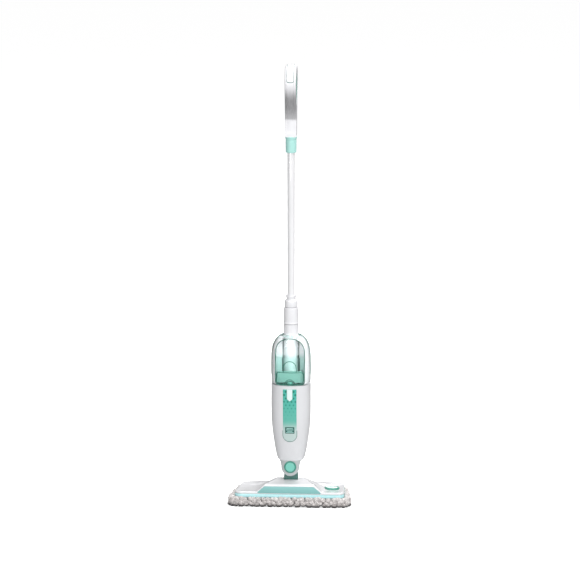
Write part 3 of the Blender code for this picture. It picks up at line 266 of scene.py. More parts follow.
def grip_painted_shade_finish(name, roughness):
    """White plastic with painted shade: a grey band down the front of the grip, darker towards its lower end.
    """
    made = Finish(name, WHITE, roughness, Coat_Weight=0.2, Coat_Roughness=0.12)
    y, z = made.axis("Y"), made.axis("Z")
    # Painted shade: grey laid on the front face of the grip, fading in from the top and cut off at the
    # bottom.
    up = made.spread(z, 1.112, 1.168, 1, 0, smooth=True)
    down = made.spread(z, 1.057, 1.066, 0, 1, smooth=True)
    middle = made.spread(z, 1.062, 1.100, 0.72, 1)
    front = made.spread(y, -0.0170, -0.0110, 1, 0, smooth=True)
    level = made.math("MULTIPLY", made.math("MULTIPLY", up, down), made.math("MULTIPLY", front, middle))
    streaks = made.noise(420, 2, stretch=(1, 1, 0.02))
    level = made.math("MULTIPLY", level, made.spread(streaks, 0.3, 0.7, 0.9, 1.05))
    made.paint(made.mix(level, WHITE, srgb(138, 138, 140)))
    made.rough(made.spread(level, 0, 1, roughness, 0.5))
    return made.bump(made.noise(1600, 2), 0.00003, 0.5)


def clear_finish(name, absorbed, density, ior):
    """Tinted clear plastic or water that lets light through to what is behind it."""
    made = Finish(name, (1, 1, 1), 0.02, IOR=ior, Transmission_Weight=1.0)
    output = made.nodes["Material Output"]
    through = made.nodes.new("ShaderNodeBsdfTransparent")
    through.inputs["Color"].default_value = (0.975, 0.997, 0.995, 1)
    blend = made.nodes.new("ShaderNodeMixShader")
    path = made.nodes.new("ShaderNodeLightPath")
    made.links.new(path.outputs["Is Shadow Ray"], blend.inputs[0])
    made.links.new(made.shader.outputs[0], blend.inputs[1])
    made.links.new(through.outputs[0], blend.inputs[2])
    made.links.new(blend.outputs[0], output.inputs["Surface"])
    depth = made.nodes.new("ShaderNodeVolumeAbsorption")
    depth.inputs["Color"].default_value = (*absorbed, 1)
    depth.inputs["Density"].default_value = density
    made.links.new(depth.outputs[0], output.inputs["Volume"])
    return made


def fabric_finish():
    """Microfibre chenille: off-white pile with soft fuzz, painted shade at the roots of the pile and a
    painted contact shadow near the floor.
    """
    colour = srgb(246, 241, 239)
    made = Finish("pad_microfibre", colour, 0.95, Sheen_Weight=0.35, Sheen_Roughness=0.5)
    patch = made.spread(made.noise(110, 4), 0.40, 0.62, 0, 1)
    pile = made.noise(520, 4, 0.7)
    shade = made.mix(patch, srgb(214, 208, 206), colour)
    # Painted shade: near-grey where the pile noise is low, the same noise that bumps the pile.
    shade = made.mix(made.spread(pile, 0.36, 0.50, 0, 1), srgb(112, 106, 104), shade)
    # Painted shadow: near-black towards the floor, for the contact shadow under the pad.
    contact_shadow_fade = made.spread(made.axis("Z"), 0.0020, 0.0115, 0, 1, smooth=True)
    made.paint(made.mix(contact_shadow_fade, srgb(34, 31, 31), shade))
    return made.bump(pile, 0.0014, 1.0)


FINISHES = make_finishes()


# ---------------------------------------------------------------- modelling helpers
def add_mesh(name, verts, faces, finish, angle=32):
    """One closed piece with its faces turned outwards and smooth shading between its edges."""
    mesh = bpy.data.meshes.new(name)
    bm = bmesh.new()
    points = [bm.verts.new(v) for v in verts]
    for face in faces:
        if len(set(face)) > 2:
            bm.faces.new([points[i] for i in dict.fromkeys(face)])
    bmesh.ops.remove_doubles(bm, verts=bm.verts, dist=1e-6)
    bmesh.ops.recalc_face_normals(bm, faces=bm.faces)
    bm.to_mesh(mesh)
    bm.free()
    mesh.shade_smooth()
    mesh.set_sharp_from_angle(angle=math.radians(angle))
    mesh.materials.append(FINISHES[finish].material)
    obj = bpy.data.objects.new(name, mesh)
    bpy.context.scene.collection.objects.link(obj)
    return obj


def loft(name, rings, finish, angle=32, closed=False):
    """Surface through rings of equally many points; capped, or closed into a torus."""
    count = len(rings[0])
    verts = [point for ring in rings for point in ring]
    faces = [] if closed else [tuple(range(count)), tuple((len(rings) - 1) * count + i for i in range(count))]
    for level in range(len(rings) if closed else len(rings) - 1):
        low, high = level * count, (level + 1) % len(rings) * count
        for i in range(count):
            j = (i + 1) % count
            faces.append((low + i, low + j, high + j, high + i))
    return add_mesh(name, verts, faces, finish, angle)


def placed(axis, centre):
    quarter = math.pi / 2
    turn = {"Z": Matrix(), "X": Matrix.Rotation(quarter, 4, "Y"), "Y": Matrix.Rotation(-quarter, 4, "X")}
    return Matrix.Translation(centre) @ turn[axis]


def fillet(points, radius, steps=4):
    """Closed profile with its corners rounded; a point's third number is its own radius."""
    found = []
    count = len(points)
    for i in range(count):
        before, here, after = (Vector(points[(i + k) % count][:2]) for k in (-1, 0, 1))
        wanted = points[i][2] if len(points[i]) > 2 else radius
        back, forth = before - here, after - here
        if wanted <= 0 or back.length < 1e-7 or forth.length < 1e-7:
            found.append(tuple(here))
            continue
        angle = back.angle(forth)
        if angle > math.radians(175) or (here.x < 1e-7):
            found.append(tuple(here))
            continue
        reach = min(wanted / math.tan(angle / 2), back.length * 0.49, forth.length * 0.49)
        start, end = here + back.normalized() * reach, here + forth.normalized() * reach
        for step in range(steps + 1):
            t = step / steps
            found.append(tuple(start * (1 - t) ** 2 + here * 2 * t * (1 - t) + end * t**2))
    return found


def turned(name, profile, finish, axis="Z", centre=(0, 0, 0), segments=64, soft=0.0005, angle=32):
    """Solid of revolution of a closed profile of (radius, height) points, with softened edges."""
    verts, loops = [], []
    for radius, height in fillet(profile, soft):
        if radius < 1e-7:
            loops.append([len(verts)] * segments)
            verts.append((0, 0, height))
            continue
        loops.append(list(range(len(verts), len(verts) + segments)))
        for i in range(segments):
            turn = 2 * math.pi * i / segments
            verts.append((radius * math.cos(turn), radius * math.sin(turn), height))
    faces = []
    for low, high in zip(loops, loops[1:] + loops[:1]):
        for i in range(segments):
            j = (i + 1) % segments
            faces.append((low[i], low[j], high[j], high[i]))
    place = placed(axis, centre)
    return add_mesh(name, [place @ Vector(v) for v in verts], faces, finish, angle)


def offset(outline, distance):
    """Closed 2D outline, counter-clockwise, moved outwards."""
    moved = []
    count = len(outline)
    for i in range(count):
        before, here, after = (Vector(outline[(i + k) % count]) for k in (-1, 0, 1))
        first, second = (here - before).normalized(), (after - here).normalized()
        normal = Vector((first.y + second.y, -first.x - second.x)).normalized()
        spread = max(normal.dot(Vector((first.y, -first.x))), 0.5)
        moved.append(tuple(here + normal * (distance / spread)))
    return moved


def rounded(corners, radius, steps=8):
    outline = []
    count = len(corners)
    for i in range(count):
        before, here, after = (Vector(corners[(i + k) % count]) for k in (-1, 0, 1))
        back, forth = (before - here).normalized(), (after - here).normalized()
        half = back.angle(forth) / 2
        centre = here + (back + forth).normalized() * (radius / math.sin(half))
        start = here + back * (radius / math.tan(half)) - centre
        for step in range(steps + 1):
            turn = (math.pi - 2 * half) * step / steps
            c, s = math.cos(turn), math.sin(turn)
            outline.append((centre.x + start.x * c - start.y * s, centre.y + start.x * s + start.y * c))
    return outline


def resampled(outline, gap):
    """Outline with a point at least every gap along it."""
    found = []
    for a, b in zip(outline, outline[1:] + outline[:1]):
        a, b = Vector(a), Vector(b)
        parts = max(int((b - a).length / gap), 1)
        found += [tuple(a.lerp(b, k / parts)) for k in range(parts)]
    return found


def plate(name, outline, plane, low, high, finish, edge=0.0006, angle=32):
    """Flat piece with softened edges from an outline in a plane."""
    def put(u, v, h):
        return {"XY": Vector((u, v, h)), "XZ": Vector((u, h, v)), "YZ": Vector((h, u, v))}[plane]

    steps = [(0.0, edge), (edge * 0.3, edge * 0.3), (edge, 0.0)]
    levels = [(low + rise, inset) for rise, inset in steps]
    levels += [(high - rise, inset) for rise, inset in reversed(steps)]
    rings = [[put(u, v, h) for u, v in offset(outline, -inset)] for h, inset in levels]
    return loft(name, rings, finish, angle)


def smooth_curve(points, steps=8, closed=False):
    points = [Vector(p) for p in points]
    count = len(points)
    found = []
    for i in range(count if closed else count - 1):
        if closed:
            a, b, c, d = (points[(i + k) % count] for k in (-1, 0, 1, 2))
        else:
            a, b, c, d = (points[min(max(i + k, 0), count - 1)] for k in (-1, 0, 1, 2))
        for step in range(steps):
            t = step / steps
            bend, twist = 2 * a - 5 * b + 4 * c - d, 3 * b - a - 3 * c + d
            found.append(0.5 * (2 * b + (c - a) * t + bend * t**2 + twist * t**3))
    if not closed:
        found.append(points[-1])
    return found


def interpolate(table, z):
    """Row of a table of stations at height z, through smooth curves."""
    z = min(max(z, table[0][0]), table[-1][0])
    i = max(k for k in range(len(table) - 1) if table[k][0] <= z)
    span = table[i + 1][0] - table[i][0]
    t = (z - table[i][0]) / span
    found = []
    for column in range(1, len(table[0])):
        slopes = []
        for k in (i, i + 1):
            low, high = max(k - 1, 0), min(k + 1, len(table) - 1)
            rise, run = (table[high][k] - table[low][k] for k in (column, 0))
            slopes.append(rise / run * span)
        a, b = table[i][column], table[i + 1][column]
        found.append(
            (2 * t**3 - 3 * t**2 + 1) * a
            + (t**3 - 2 * t**2 + t) * slopes[0]
            + (-2 * t**3 + 3 * t**2) * b
            + (t**3 - t**2) * slopes[1]
        )
    return found


def spaced(low, high, count):
    return [low + (high - low) * i / (count - 1) for i in range(count)]


def round_steps(count):
    """Angles of a full turn in equal steps."""
    return spaced(0, 2 * math.pi, count + 1)[:-1]


def arc_section(half_width, depth, side, clip, z, count, inset=0.0):
    """Half a superellipse on one side (+1 back, -1 front), from +X to -X, no nearer to Y 0 than clip."""
    reach = depth - inset
    start = math.asin(min((clip / reach) ** (POWER / 2), 1.0)) if clip > 0 else 0.0
    points = []
    for i in range(count):
        angle = start + (math.pi - 2 * start) * i / (count - 1)
        c, s = math.cos(angle), abs(math.sin(angle))
        x = math.copysign(abs(c) ** (2 / POWER), c) * (half_width - inset)
        points.append(Vector((x, side * max(s ** (2 / POWER) * reach, clip), z)))
    return points


def body_y(x, z, side=-1):
    half_width, front, back = interpolate(BODY_STATIONS, z)
    depth = back if side > 0 else front
    return side * depth * max(1 - abs(x / half_width) ** POWER, 0) ** (1 / POWER)


def finish_mesh(obj, angle=32):
    """Keeps what the modifiers make, and drops them."""
    bpy.context.view_layer.update()
    made = bpy.data.meshes.new_from_object(obj.evaluated_get(bpy.context.evaluated_depsgraph_get()))
    obj.modifiers.clear()
    obj.data = made
    made.shade_smooth()
    made.set_sharp_from_angle(angle=math.radians(angle))
    return obj


def carve(obj, *cutters, operation="DIFFERENCE", angle=32):
    for cutter in cutters:
        modifier = obj.modifiers.new("carve", "BOOLEAN")
        modifier.operation = operation
        modifier.solver = "EXACT"
        modifier.object = cutter
    finish_mesh(obj, angle)
    for cutter in cutters:
        bpy.data.objects.remove(cutter)
    return obj


def merge(name, *objs):
    """Joins pieces of one finish into one object."""
    bm = bmesh.new()
    for obj in objs:
        bm.from_mesh(obj.data)
    first = objs[0]
    bm.to_mesh(first.data)
    bm.free()
    for obj in objs[1:]:
        bpy.data.objects.remove(obj)
    first.name = name
    first.data.shade_smooth()
    first.data.set_sharp_from_angle(angle=math.radians(32))
    return first


def piece(obj, body, slot, *nodes):
    """Hands a finished piece to its CAD body, in place of CAD nodes."""
    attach(obj, body)
    if nodes:
        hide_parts(*nodes)
    return obj


def rod(name, radius, low, high, finish, axis="Z", centre=(0, 0, 0), segments=48, soft=0.0004):
    profile = [(0, low), (radius, low), (radius, high), (0, high)]
    return turned(name, profile, finish, axis, centre, segments, soft)


# ---------------------------------------------------------------- handle and pole
HANDLE_BOTTOM = 1.0123
HANDLE_HALF = 0.0155
STRIP_HALF = 0.0098


def handle_outline(steps=10):
    back = [(0.0150, 1.045), (0.0215, 1.082), (0.0315, 1.118), (0.0395, 1.152), (0.0375, 1.184)]
    top = [(0.0240, 1.2035), (0.0020, 1.2100), (-0.0190, 1.2020)]
    front = [(-0.0310, 1.180), (-0.0325, 1.150), (-0.0260, 1.110), (-0.0185, 1.075), (-0.0150, 1.040)]
    loop = smooth_curve([(0.0150, 1.030), *back, *top, *front, (-0.0148, 1.020)], steps)
    return [(0.0145, HANDLE_BOTTOM)] + [tuple(p) for p in loop] + [(-0.0145, HANDLE_BOTTOM)]


def opening_outline(steps=12):
    points = [(0.0030, 1.0980), (0.0165, 1.1200), (0.0235, 1.1500), (0.0195, 1.1800), (0.0030, 1.1920),
              (-0.0125, 1.1800), (-0.0170, 1.1500), (-0.0110, 1.1200)]
    return [tuple(p) for p in smooth_curve(points, steps, closed=True)]


def hit(outline, centre, towards):
    """Where a ray from centre meets a closed outline."""
    ray = (Vector(towards) - Vector(centre)).normalized()
    for a, b in zip(outline, outline[1:] + outline[:1]):
        a, b = Vector(a) - Vector(centre), Vector(b) - Vector(centre)
        edge = b - a
        cross = ray.x * edge.y - ray.y * edge.x
        if abs(cross) < 1e-12:
            continue
        reach = (a.x * edge.y - a.y * edge.x) / cross
        share = (a.x * ray.y - a.y * ray.x) / cross
        if reach > 0 and -1e-6 <= share <= 1 + 1e-6:
            return Vector(centre) + ray * reach
    return Vector(centre)


def handle_section(length, outer=0.0048, inner=0.0012):
    """Closed section of the loop: distance in from the outer edge, and X."""
    half = HANDLE_HALF
    groove = [(0.0, STRIP_HALF + 0.00055), (0.0009, STRIP_HALF + 0.00015), (0.0009, STRIP_HALF - 0.00015),
              (0.0, STRIP_HALF - 0.00055)]
    points = []
    for step in range(6):
        turn = math.pi / 2 * step / 5
        points.append((length - inner + inner * math.sin(turn), -half + inner - inner * math.cos(turn)))
    for step in range(6):
        turn = math.pi / 2 * step / 5
        points.append((length - inner + inner * math.cos(turn), half - inner + inner * math.sin(turn)))
    points += [(length * 0.66 + outer * 0.34, half), (length * 0.33 + outer * 0.67, half)]
    for step in range(8):
        turn = math.pi / 2 * step / 7
        points.append((outer - outer * math.sin(turn), half - outer + outer * math.cos(turn)))
    points += groove
    points += [(u, -x) for u, x in reversed(groove)]
    for step in range(8):
        turn = math.pi / 2 * step / 7
        points.append((outer - outer * math.cos(turn), -half + outer - outer * math.sin(turn)))
    points += [(length * 0.33 + outer * 0.67, -half), (length * 0.66 + outer * 0.34, -half)]
    return points


def build_handle():
    outline, opening = handle_outline(), opening_outline()
    centre = (0.002, 1.148)
    bottom = [(x, HANDLE_BOTTOM) for x in spaced(-0.0145, 0.0145, 9)[1:-1]]
    rings = []
    for y, z in outline + bottom:
        outer, inner = Vector((y, z)), hit(opening, centre, (y, z))
        inward = (inner - outer).normalized()
        rings.append(
            [Vector((x, *(outer + inward * u))) for u, x in handle_section((inner - outer).length)]
        )
    # The shell's finish paints shade in grey down the front of the grip.
    shell = loft("handle_shell", rings, "grip", angle=40, closed=True)
    piece(shell, "pole", "white_plastic", "handle_shell_left", "handle_shell_right")

    lining = []
    inner_line = opening_outline(12)
    shape = [(-0.0003, -0.0128), (0.0012, -0.0142), (0.0026, -0.0128), (0.0032, -0.0060), (0.0034, 0.0),
             (0.0032, 0.0060), (0.0026, 0.0128), (0.0012, 0.0142), (-0.0003, 0.0128)]
    offsets = {round(u, 5): offset(inner_line, -u) for u, _ in shape}
    for i in range(len(inner_line)):
        lining.append([Vector((x, *offsets[round(u, 5)][i])) for u, x in shape])
    # The lining is teal; the darker teal on it is painted shade for the inside of the loop.
    piece(loft("handle_lining", lining, "teal_dark", closed=True), "pole", "teal_plastic", "handle_grip")

    path = [Vector(p) for p in handle_outline(16)[2:-2]]
    # Painted shade: a dark rim showing round the trim panel, for the shade in its seam.
    build_strip("handle_trim_seam_shade", [p for p in path if p.y > 1.1655], 0.0003, 0.0046, "outline",
                "white_plastic", grow=0.0008)
    build_strip("handle_trim_panel", [p for p in path if p.y > 1.1665], 0.0009, 0.0042, "white",
                "white_plastic", "handle_trim")
    # The strip down the front of the grip carries the same painted shade.
    front = [p for p in path if 1.0585 < p.y < 1.1640 and p.x < 0]
    build_strip("handle_grip_strip", front, 0.0004, 0.0010, "shade", "white_plastic")


def build_strip(name, path, proud, corner, finish, slot, *nodes, grow=0.0):
    """Plate laid on the loop's outer edge between its grooves, with rounded ends."""
    lengths = [0.0]
    for a, b in zip(path, path[1:]):
        lengths.append(lengths[-1] + (b - a).length)
    total = lengths[-1]
    stations = sorted({*spaced(0, total, 40), *[corner * k / 6 for k in range(7)],
                       *[total - corner * k / 6 for k in range(7)]})
    rings = []
    for s in stations:
        i = max(k for k in range(len(lengths) - 1) if lengths[k] <= s + 1e-9)
        share = (s - lengths[i]) / (lengths[i + 1] - lengths[i])
        here, along = path[i].lerp(path[i + 1], share), (path[i + 1] - path[i]).normalized()
        normal = Vector((along.y, -along.x))
        near = min(s, total - s)
        half = STRIP_HALF - 0.0008 - corner + grow
        half += corner if near >= corner else math.sqrt(max(corner**2 - (corner - near) ** 2, 1e-9))
        section = [(-half, -0.0012), (-half, proud - 0.0003), (-half + 0.0004, proud), (half - 0.0004, proud),
                   (half, proud - 0.0003), (half, -0.0012)]
        rings.append([Vector((x, *(here + normal * out))) for x, out in section])
    return piece(loft(name, rings, finish), "pole", slot, *nodes)


def build_pole():
    wall = [(0.0089, 0.456), (0.0098, 0.456), (0.0098, 1.000), (0.0089, 1.000)]
    piece(turned("pole", wall, "pole", soft=0.0002), "pole", "pole_enamel", "pole_tube")
    collar = [(0.0100, 0.9690), (0.0140, 0.9690), (0.0146, 0.9705), (0.0148, 0.9900), (0.0150, 1.0020),
              (0.0143, 1.0028), (0.0145, 1.0040), (0.0153, 1.0060), (0.0162, 1.0110), (0.0160, 1.0128),
              (0.0152, 1.0134), (0.0146, 1.0122), (0.0100, 1.0120)]
    socket = turned("handle_socket", collar, "collar", soft=0.0007)
    carve(socket, rod("hole", 0.0047, 0.0, 0.03, "grey", "Y", (0, 0, 0.984)))
    piece(socket, "pole", "teal_plastic", "handle_collar")
    button = [(0, 0.0075), (0.0028, 0.0080), (0.0028, 0.0130), (0.0043, 0.0130), (0.0043, 0.0166),
              (0.0030, 0.0176), (0, 0.0172)]
    piece(turned("socket_button", button, "white", "Y", (0, 0, 0.984), 40), "release_button", "white_plastic",
          "pole_button")


def build_neck_top():
    wiper = [(0.0101, 0.5403), (0.0140, 0.5403), (0.0166, 0.5412), (0.0178, 0.5440), (0.0182, 0.5500),
             (0.0178, 0.5570), (0.0170, 0.5600), (0.0150, 0.5612), (0.0118, 0.5612), (0.0120, 0.5640),
             (0.0138, 0.5700), (0.0145, 0.5728), (0.0136, 0.5732), (0.0120, 0.5700), (0.0101, 0.5640)]
    piece(turned("wiper_cup", wiper, "white", soft=0.0006), "main_body", "white_plastic", "wiper_collar")
    neck = [(0.0101, 0.5000), (0.0150, 0.4945), (0.0196, 0.4945), (0.0207, 0.4955), (0.0209, 0.4975),
            (0.0203, 0.4990), (0.0199, 0.4996), (0.0198, 0.5100), (0.0195, 0.5385), (0.0188, 0.5398),
            (0.0101, 0.5400)]
    piece(turned("neck_sleeve", neck, "white", soft=0.0005), "main_body", "white_plastic", "neck_collar")
    column = [(0.0178, 0.3309), (0.0206, 0.3309), (0.0206, 0.4650), (0.0199, 0.4700), (0.0197, 0.4937),
              (0.0178, 0.4937)]
    heights = [*spaced(0.3330, 0.415, 6), *spaced(0.420, 0.455, 10)]
    halves = [interpolate(DOME_STATIONS, z)[0] - 0.0062 for z in heights]
    outline = list(zip(halves, heights)) + [(-h, z) for h, z in reversed(list(zip(halves, heights)))]
    wall = plate("wall", outline, "XZ", 0.0098, 0.0122, "white", 0.0004)
    tube = turned("column", column, "white", soft=0.0006)
    carve(wall, rod("bore", 0.0190, 0.30, 0.50, "white"))
    piece(merge("neck_column", tube, wall), "main_body", "white_plastic", "bay_frame")


build_handle()
build_pole()
build_neck_top()


# ---------------------------------------------------------------- lower housing
FRONT, BACK = -1, 1
HOUSING_WALL = 0.0026
CAVITY_OVERLAP = 0.004


def half_solid(name, side, table, heights, inset, clip, finish, soft=0.0, extra=0.0):
    """D-section solid of one half of the housing; soft rounds its lower edge."""
    rings = []
    for z in heights:
        half, front, back = interpolate(table, z)
        depth = back if side > 0 else front
        rise = z - heights[0]
        pull = soft - math.sqrt(max(soft**2 - (soft - rise) ** 2, 0)) if soft and rise < soft else 0.0
        ring = arc_section(half, depth, side, clip, z, 61, inset + pull)
        for point in ring:
            point.y += side * (0.0001 + extra)
        rings.append(ring)
    return loft(name, rings, finish)


def ear(name, side, radius, inner):
    """Round boss under the housing that flares into its floor and keeps to its rounded section."""
    half, front, back = interpolate(BODY_STATIONS, 0.118)
    depth = back if side > 0 else front
    right = [(radius * math.cos(a), SWIVEL_Z + radius * math.sin(a)) for a in spaced(-math.pi / 2, 0, 19)]
    right += [(radius + (0.0300 - radius) * t**1.6, SWIVEL_Z + 0.0200 * t) for t in spaced(0, 1, 8)[1:]]
    left = [(-x, z) for x, z in reversed(right)][:-1]
    low, high = sorted((side * inner, side * 0.050))
    boss = plate(name, right + left, "XZ", low, high, "nose", 0.0)
    rings = []
    for z, pull in ((0.070, 0.0), (0.118, 0.0), (0.1215, 0.0004)):
        rings.append(arc_section(half + 0.0008 - pull, depth + 0.0002 - pull, side, 0.0, z, 61))
    return carve(boss, loft("section", rings, "nose"), operation="INTERSECT", angle=28)


def wall_heights(low, high, soft, count):
    """Heights of a wall's rings, close together where its lower edge is rounded."""
    rounded_foot = [low + soft * (1 - math.cos(a)) for a in spaced(0, math.pi / 2, 6)]
    return rounded_foot + spaced(low + soft, high, count)[1:]


def build_front():
    heights = wall_heights(0.118, 0.3295, 0.0022, 26) + [0.3302, 0.3305]
    shell = half_solid("front_housing", FRONT, BODY_STATIONS, heights, 0.0, 0.0, "body", 0.0022)
    inside = spaced(0.1208, 0.3400, 20)
    carve(shell, half_solid("inner", FRONT, BODY_STATIONS, inside, HOUSING_WALL, 0.0, "white",
                            extra=-CAVITY_OVERLAP))
    boss = ear("front_boss", FRONT, 0.0248, 0.0205)
    carve(boss, rod("recess", 0.0171, -0.05, -0.0313, "nose", "Y", (0, 0, SWIVEL_Z), 72))
    shell = piece(shell, "main_body", "white_plastic", "front_shell")
    piece(boss, "main_body", "white_plastic")
    cap = [(0, -0.0364), (0.0124, -0.0362), (0.0129, -0.0359), (0.0132, -0.0352), (0.0134, -0.0347),
           (0.0146, -0.0349), (0.0160, -0.0345), (0.0166, -0.0334), (0.0166, -0.0314), (0, -0.0314)]
    disc = turned("pivot_disc", [(0, -0.0368), (0.0118, -0.0366), (0.0130, -0.0358), (0.0130, -0.0340),
                                 (0, -0.0340)], "teal", "Y", (0, 0, SWIVEL_Z), 72, 0.0006)
    piece(disc, "main_body", "teal_plastic")
    ring = turned("pivot_ring", cap, "teal_dark", "Y", (0, 0, SWIVEL_Z), 72, 0.0003)
    piece(ring, "main_body", "teal_plastic", "swivel_cap")


def build_rear():
    heights = wall_heights(0.118, 0.3295, 0.0022, 26) + [0.3305]
    shell = half_solid("rear_housing", BACK, BODY_STATIONS, heights, 0.0, 0.0, "body", 0.0022)
    dome_heights = [0.3300, *spaced(0.3400, 0.4150, 6), *spaced(0.422, 0.457, 12), 0.4600, 0.4620, 0.4630]
    dome = half_solid("dome", BACK, DOME_STATIONS, dome_heights, 0.0, 0.0094, "white")
    carve(shell, dome, operation="UNION")
    inside = spaced(0.1208, 0.3290, 20)
    carve(shell, half_solid("inner", BACK, BODY_STATIONS, inside, HOUSING_WALL, 0.0, "white",
                            extra=-CAVITY_OVERLAP))
    inside = [0.3280, *spaced(0.3400, 0.4150, 5), *spaced(0.422, 0.457, 10)]
    carve(shell, half_solid("inner", BACK, DOME_STATIONS, inside, HOUSING_WALL, 0.0094, "white",
                            extra=-CAVITY_OVERLAP))
    pads = [rod("hook_pad", 0.0105, 0.0375, 0.0435, "white", "Y", (0, 0, LOWER_HOOK_Z), 56, 0.0006),
            rod("gland_pad", 0.0095, 0.0300, 0.0375, "white", "Y", (0, 0, GLAND_Z), 56, 0.0006)]
    carve(shell, *pads, operation="UNION")
    drills = [rod("bore", 0.0060, 0.010, 0.060, "white", "Y", (0, 0, GLAND_Z), 40)]
    tubes = []
    for x, z in ((0.036, 0.300), (0.024, 0.150)):
        surface = body_y(x, z, BACK)
        for side in (-1, 1):
            drills.append(rod("sunk", 0.0036, surface - 0.009, 0.060, "white", "Y", (side * x, 0, z), 32))
            tube = [(0.0036, surface - 0.0100), (0.0047, surface - 0.0100), (0.0047, surface - 0.0016),
                    (0.0036, surface - 0.0016)]
            tubes.append(turned("tube", tube, "white", "Y", (side * x, 0, z), 32, 0.0001))
    carve(shell, *drills)
    piece(merge("rear_housing", shell, *tubes), "main_body", "white_plastic", "rear_shell")
    boss = ear("rear_boss", BACK, 0.0215, 0.0205)
    carve(boss, rod("hole", 0.0072, 0.01, 0.05, "nose", "Y", (0, 0, SWIVEL_Z), 48))
    piece(boss, "main_body", "white_plastic")


def on_front(half_at, low, high, proud, deep, finish, name, rows=60, columns=17, edge=0.0005):
    """Plate laid on the curved front of the housing; half_at gives its half width at a height."""
    rings = []
    for z in spaced(low, high, rows):
        wide = max(half_at(z), 0.0004)
        near = min(z - low, high - z)
        out = proud - (edge - near if near < edge else 0)
        xs = spaced(-wide, wide, columns + 4)
        if wide > edge * 3:
            xs = [-wide, -wide + edge, *spaced(-wide + edge * 2, wide - edge * 2, columns), wide - edge, wide]
        outer = []
        for x in xs:
            drop = edge if abs(abs(x) - wide) < 1e-9 else 0.0
            outer.append(Vector((x, body_y(x, z) - out + drop, z)))
        inner = [Vector((x, body_y(x, z) + deep, z)) for x in reversed(xs)]
        rings.append(outer + inner)
    return loft(name, rings, finish, 40)


def arc_half(half, bottom, top, z):
    """Half width of a bar with a round lower end."""
    centre = bottom + half
    return half if z >= centre else math.sqrt(max(half**2 - (centre - z) ** 2, 0))


def build_inlay():
    half, low, high = 0.0187, 0.1745, 0.3215
    panel = on_front(lambda z: arc_half(half, low, high, z), low + 0.0002, high, 0.0007, 0.0012, "inlay",
                     "inlay_print", 90)
    piece(panel, "main_body", "inlay_teal", "inlay_panel")
    # Painted shade: a dark rim under the inlay's round lower end.
    rim = on_front(lambda z: arc_half(half + 0.0014, low - 0.0014, high, z), low - 0.0013, 0.2060, 0.0004,
                   0.0010, "outline", "inlay_lower_edge_shade", 50)
    piece(rim, "main_body", "inlay_teal")

    def lens_half(z, grow=0.0):
        tip = 0.2880 - grow
        return min(0.0074 + grow, (z - tip) * 1.1)

    lens = on_front(lens_half, 0.2884, 0.3212, 0.0019, 0.0005, "lens", "window", 50, edge=0.0006)
    piece(lens, "main_body", "lens_milky", "indicator_lens")
    border = on_front(lambda z: lens_half(z, 0.0009), 0.2873, 0.3214, 0.0010, 0.0005, "teal_dark",
                      "window_rim", 50)
    piece(border, "main_body", "inlay_teal")
    foot, top = 0.1975, 0.2160
    badge = on_front(lambda z: 0.0128 - max(0.0012 - min(z - foot, top - z), 0) * 0.8, foot, top, 0.0012,
                     0.0003, "badge", "badge", 20, edge=0.0003)
    bars = [on_front(lambda z, w=w: w, z, z + 0.0015, 0.0015, 0.0, "collar", "bar", 4, edge=0.0002)
            for z, w in ((0.1998, 0.0104), (0.2036, 0.0070), (0.2074, 0.0104), (0.2112, 0.0086))]
    piece(badge, "main_body", "inlay_teal")
    piece(merge("badge_bars", *bars), "main_body", "inlay_teal")


# ---------------------------------------------------------------- water tank
def tank_ring(z, inset, back_y, grow=0.0):
    half, front = interpolate(TANK_STATIONS, z)
    front_arc = arc_section(half, front, FRONT, 0, z, 73, inset - grow)
    reach = 0.0420 - inset
    end = math.asin((back_y / reach) ** (POWER / 2))
    side = []
    for step in spaced(1, 0.1, 7):
        side.append((math.cos(end * step) ** (2 / POWER) * (half - inset + grow),
                     math.sin(end * step) ** (2 / POWER) * reach))
    right = [Vector((x, y, z)) for x, y in side]
    left = [Vector((-x, y, z)) for x, y in reversed(side)]
    return right + front_arc + left


def tank_block(name, finish, inset, heights, back_y, channel, grow=0.0):
    block = loft(name, [tank_ring(z, inset, back_y, grow) for z in heights], finish)
    arc = [(channel * math.cos(a), channel * math.sin(a)) for a in spaced(math.pi, 2 * math.pi, 49)]
    bore = plate("bore", arc + [(channel, 0.030), (-channel, 0.030)], "XY", 0.30, 0.50, finish, 0.0)
    return carve(block, bore)


def arch_outline(half, shoulder, top, bottom, power=2.2, steps=28):
    right = [(half, bottom), (half, shoulder)]
    for a in spaced(0, math.pi / 2, steps)[1:]:
        rise = (top - shoulder) * math.sin(a) ** (2 / power)
        right.append((half * math.cos(a) ** (2 / power), shoulder + rise))
    return right + [(-x, z) for x, z in reversed(right[:-1])]


def tank_y(x, z, inset=0.0):
    half, front = interpolate(TANK_STATIONS, z)
    return -(front - inset) * max(1 - abs(x / (half - inset)) ** POWER, 0) ** (1 / POWER)


def sweep(name, path, radius, finish, sides=12, closed=False):
    """Round bead along a path."""
    path = [Vector(p) for p in path]
    count = len(path)
    rings, side = [], None
    for i, here in enumerate(path):
        if closed:
            along = (path[(i + 1) % count] - path[i - 1]).normalized()
        else:
            along = (path[min(i + 1, count - 1)] - path[max(i - 1, 0)]).normalized()
        side = (side - along * side.dot(along)).normalized() if side else along.orthogonal().normalized()
        other = along.cross(side)
        rings.append([here + radius * (side * math.cos(a) + other * math.sin(a))
                      for a in round_steps(sides)])
    return loft(name, rings, finish, 60, closed)


def on_tank(outline, inset):
    return [Vector((x, tank_y(x, z, inset), z)) for x, z in outline]


def window_outline(half, bottom, corner=0.0085):
    """Arch-topped window with round lower corners."""
    arch = arch_outline(half, 0.4200, 0.4610, bottom + corner)
    lower = [(-half + corner - corner * math.cos(a), bottom + corner - corner * math.sin(a))
             for a in spaced(0, math.pi / 2, 9)]
    return arch[1:-1] + lower + [(-x, z) for x, z in reversed(lower)]


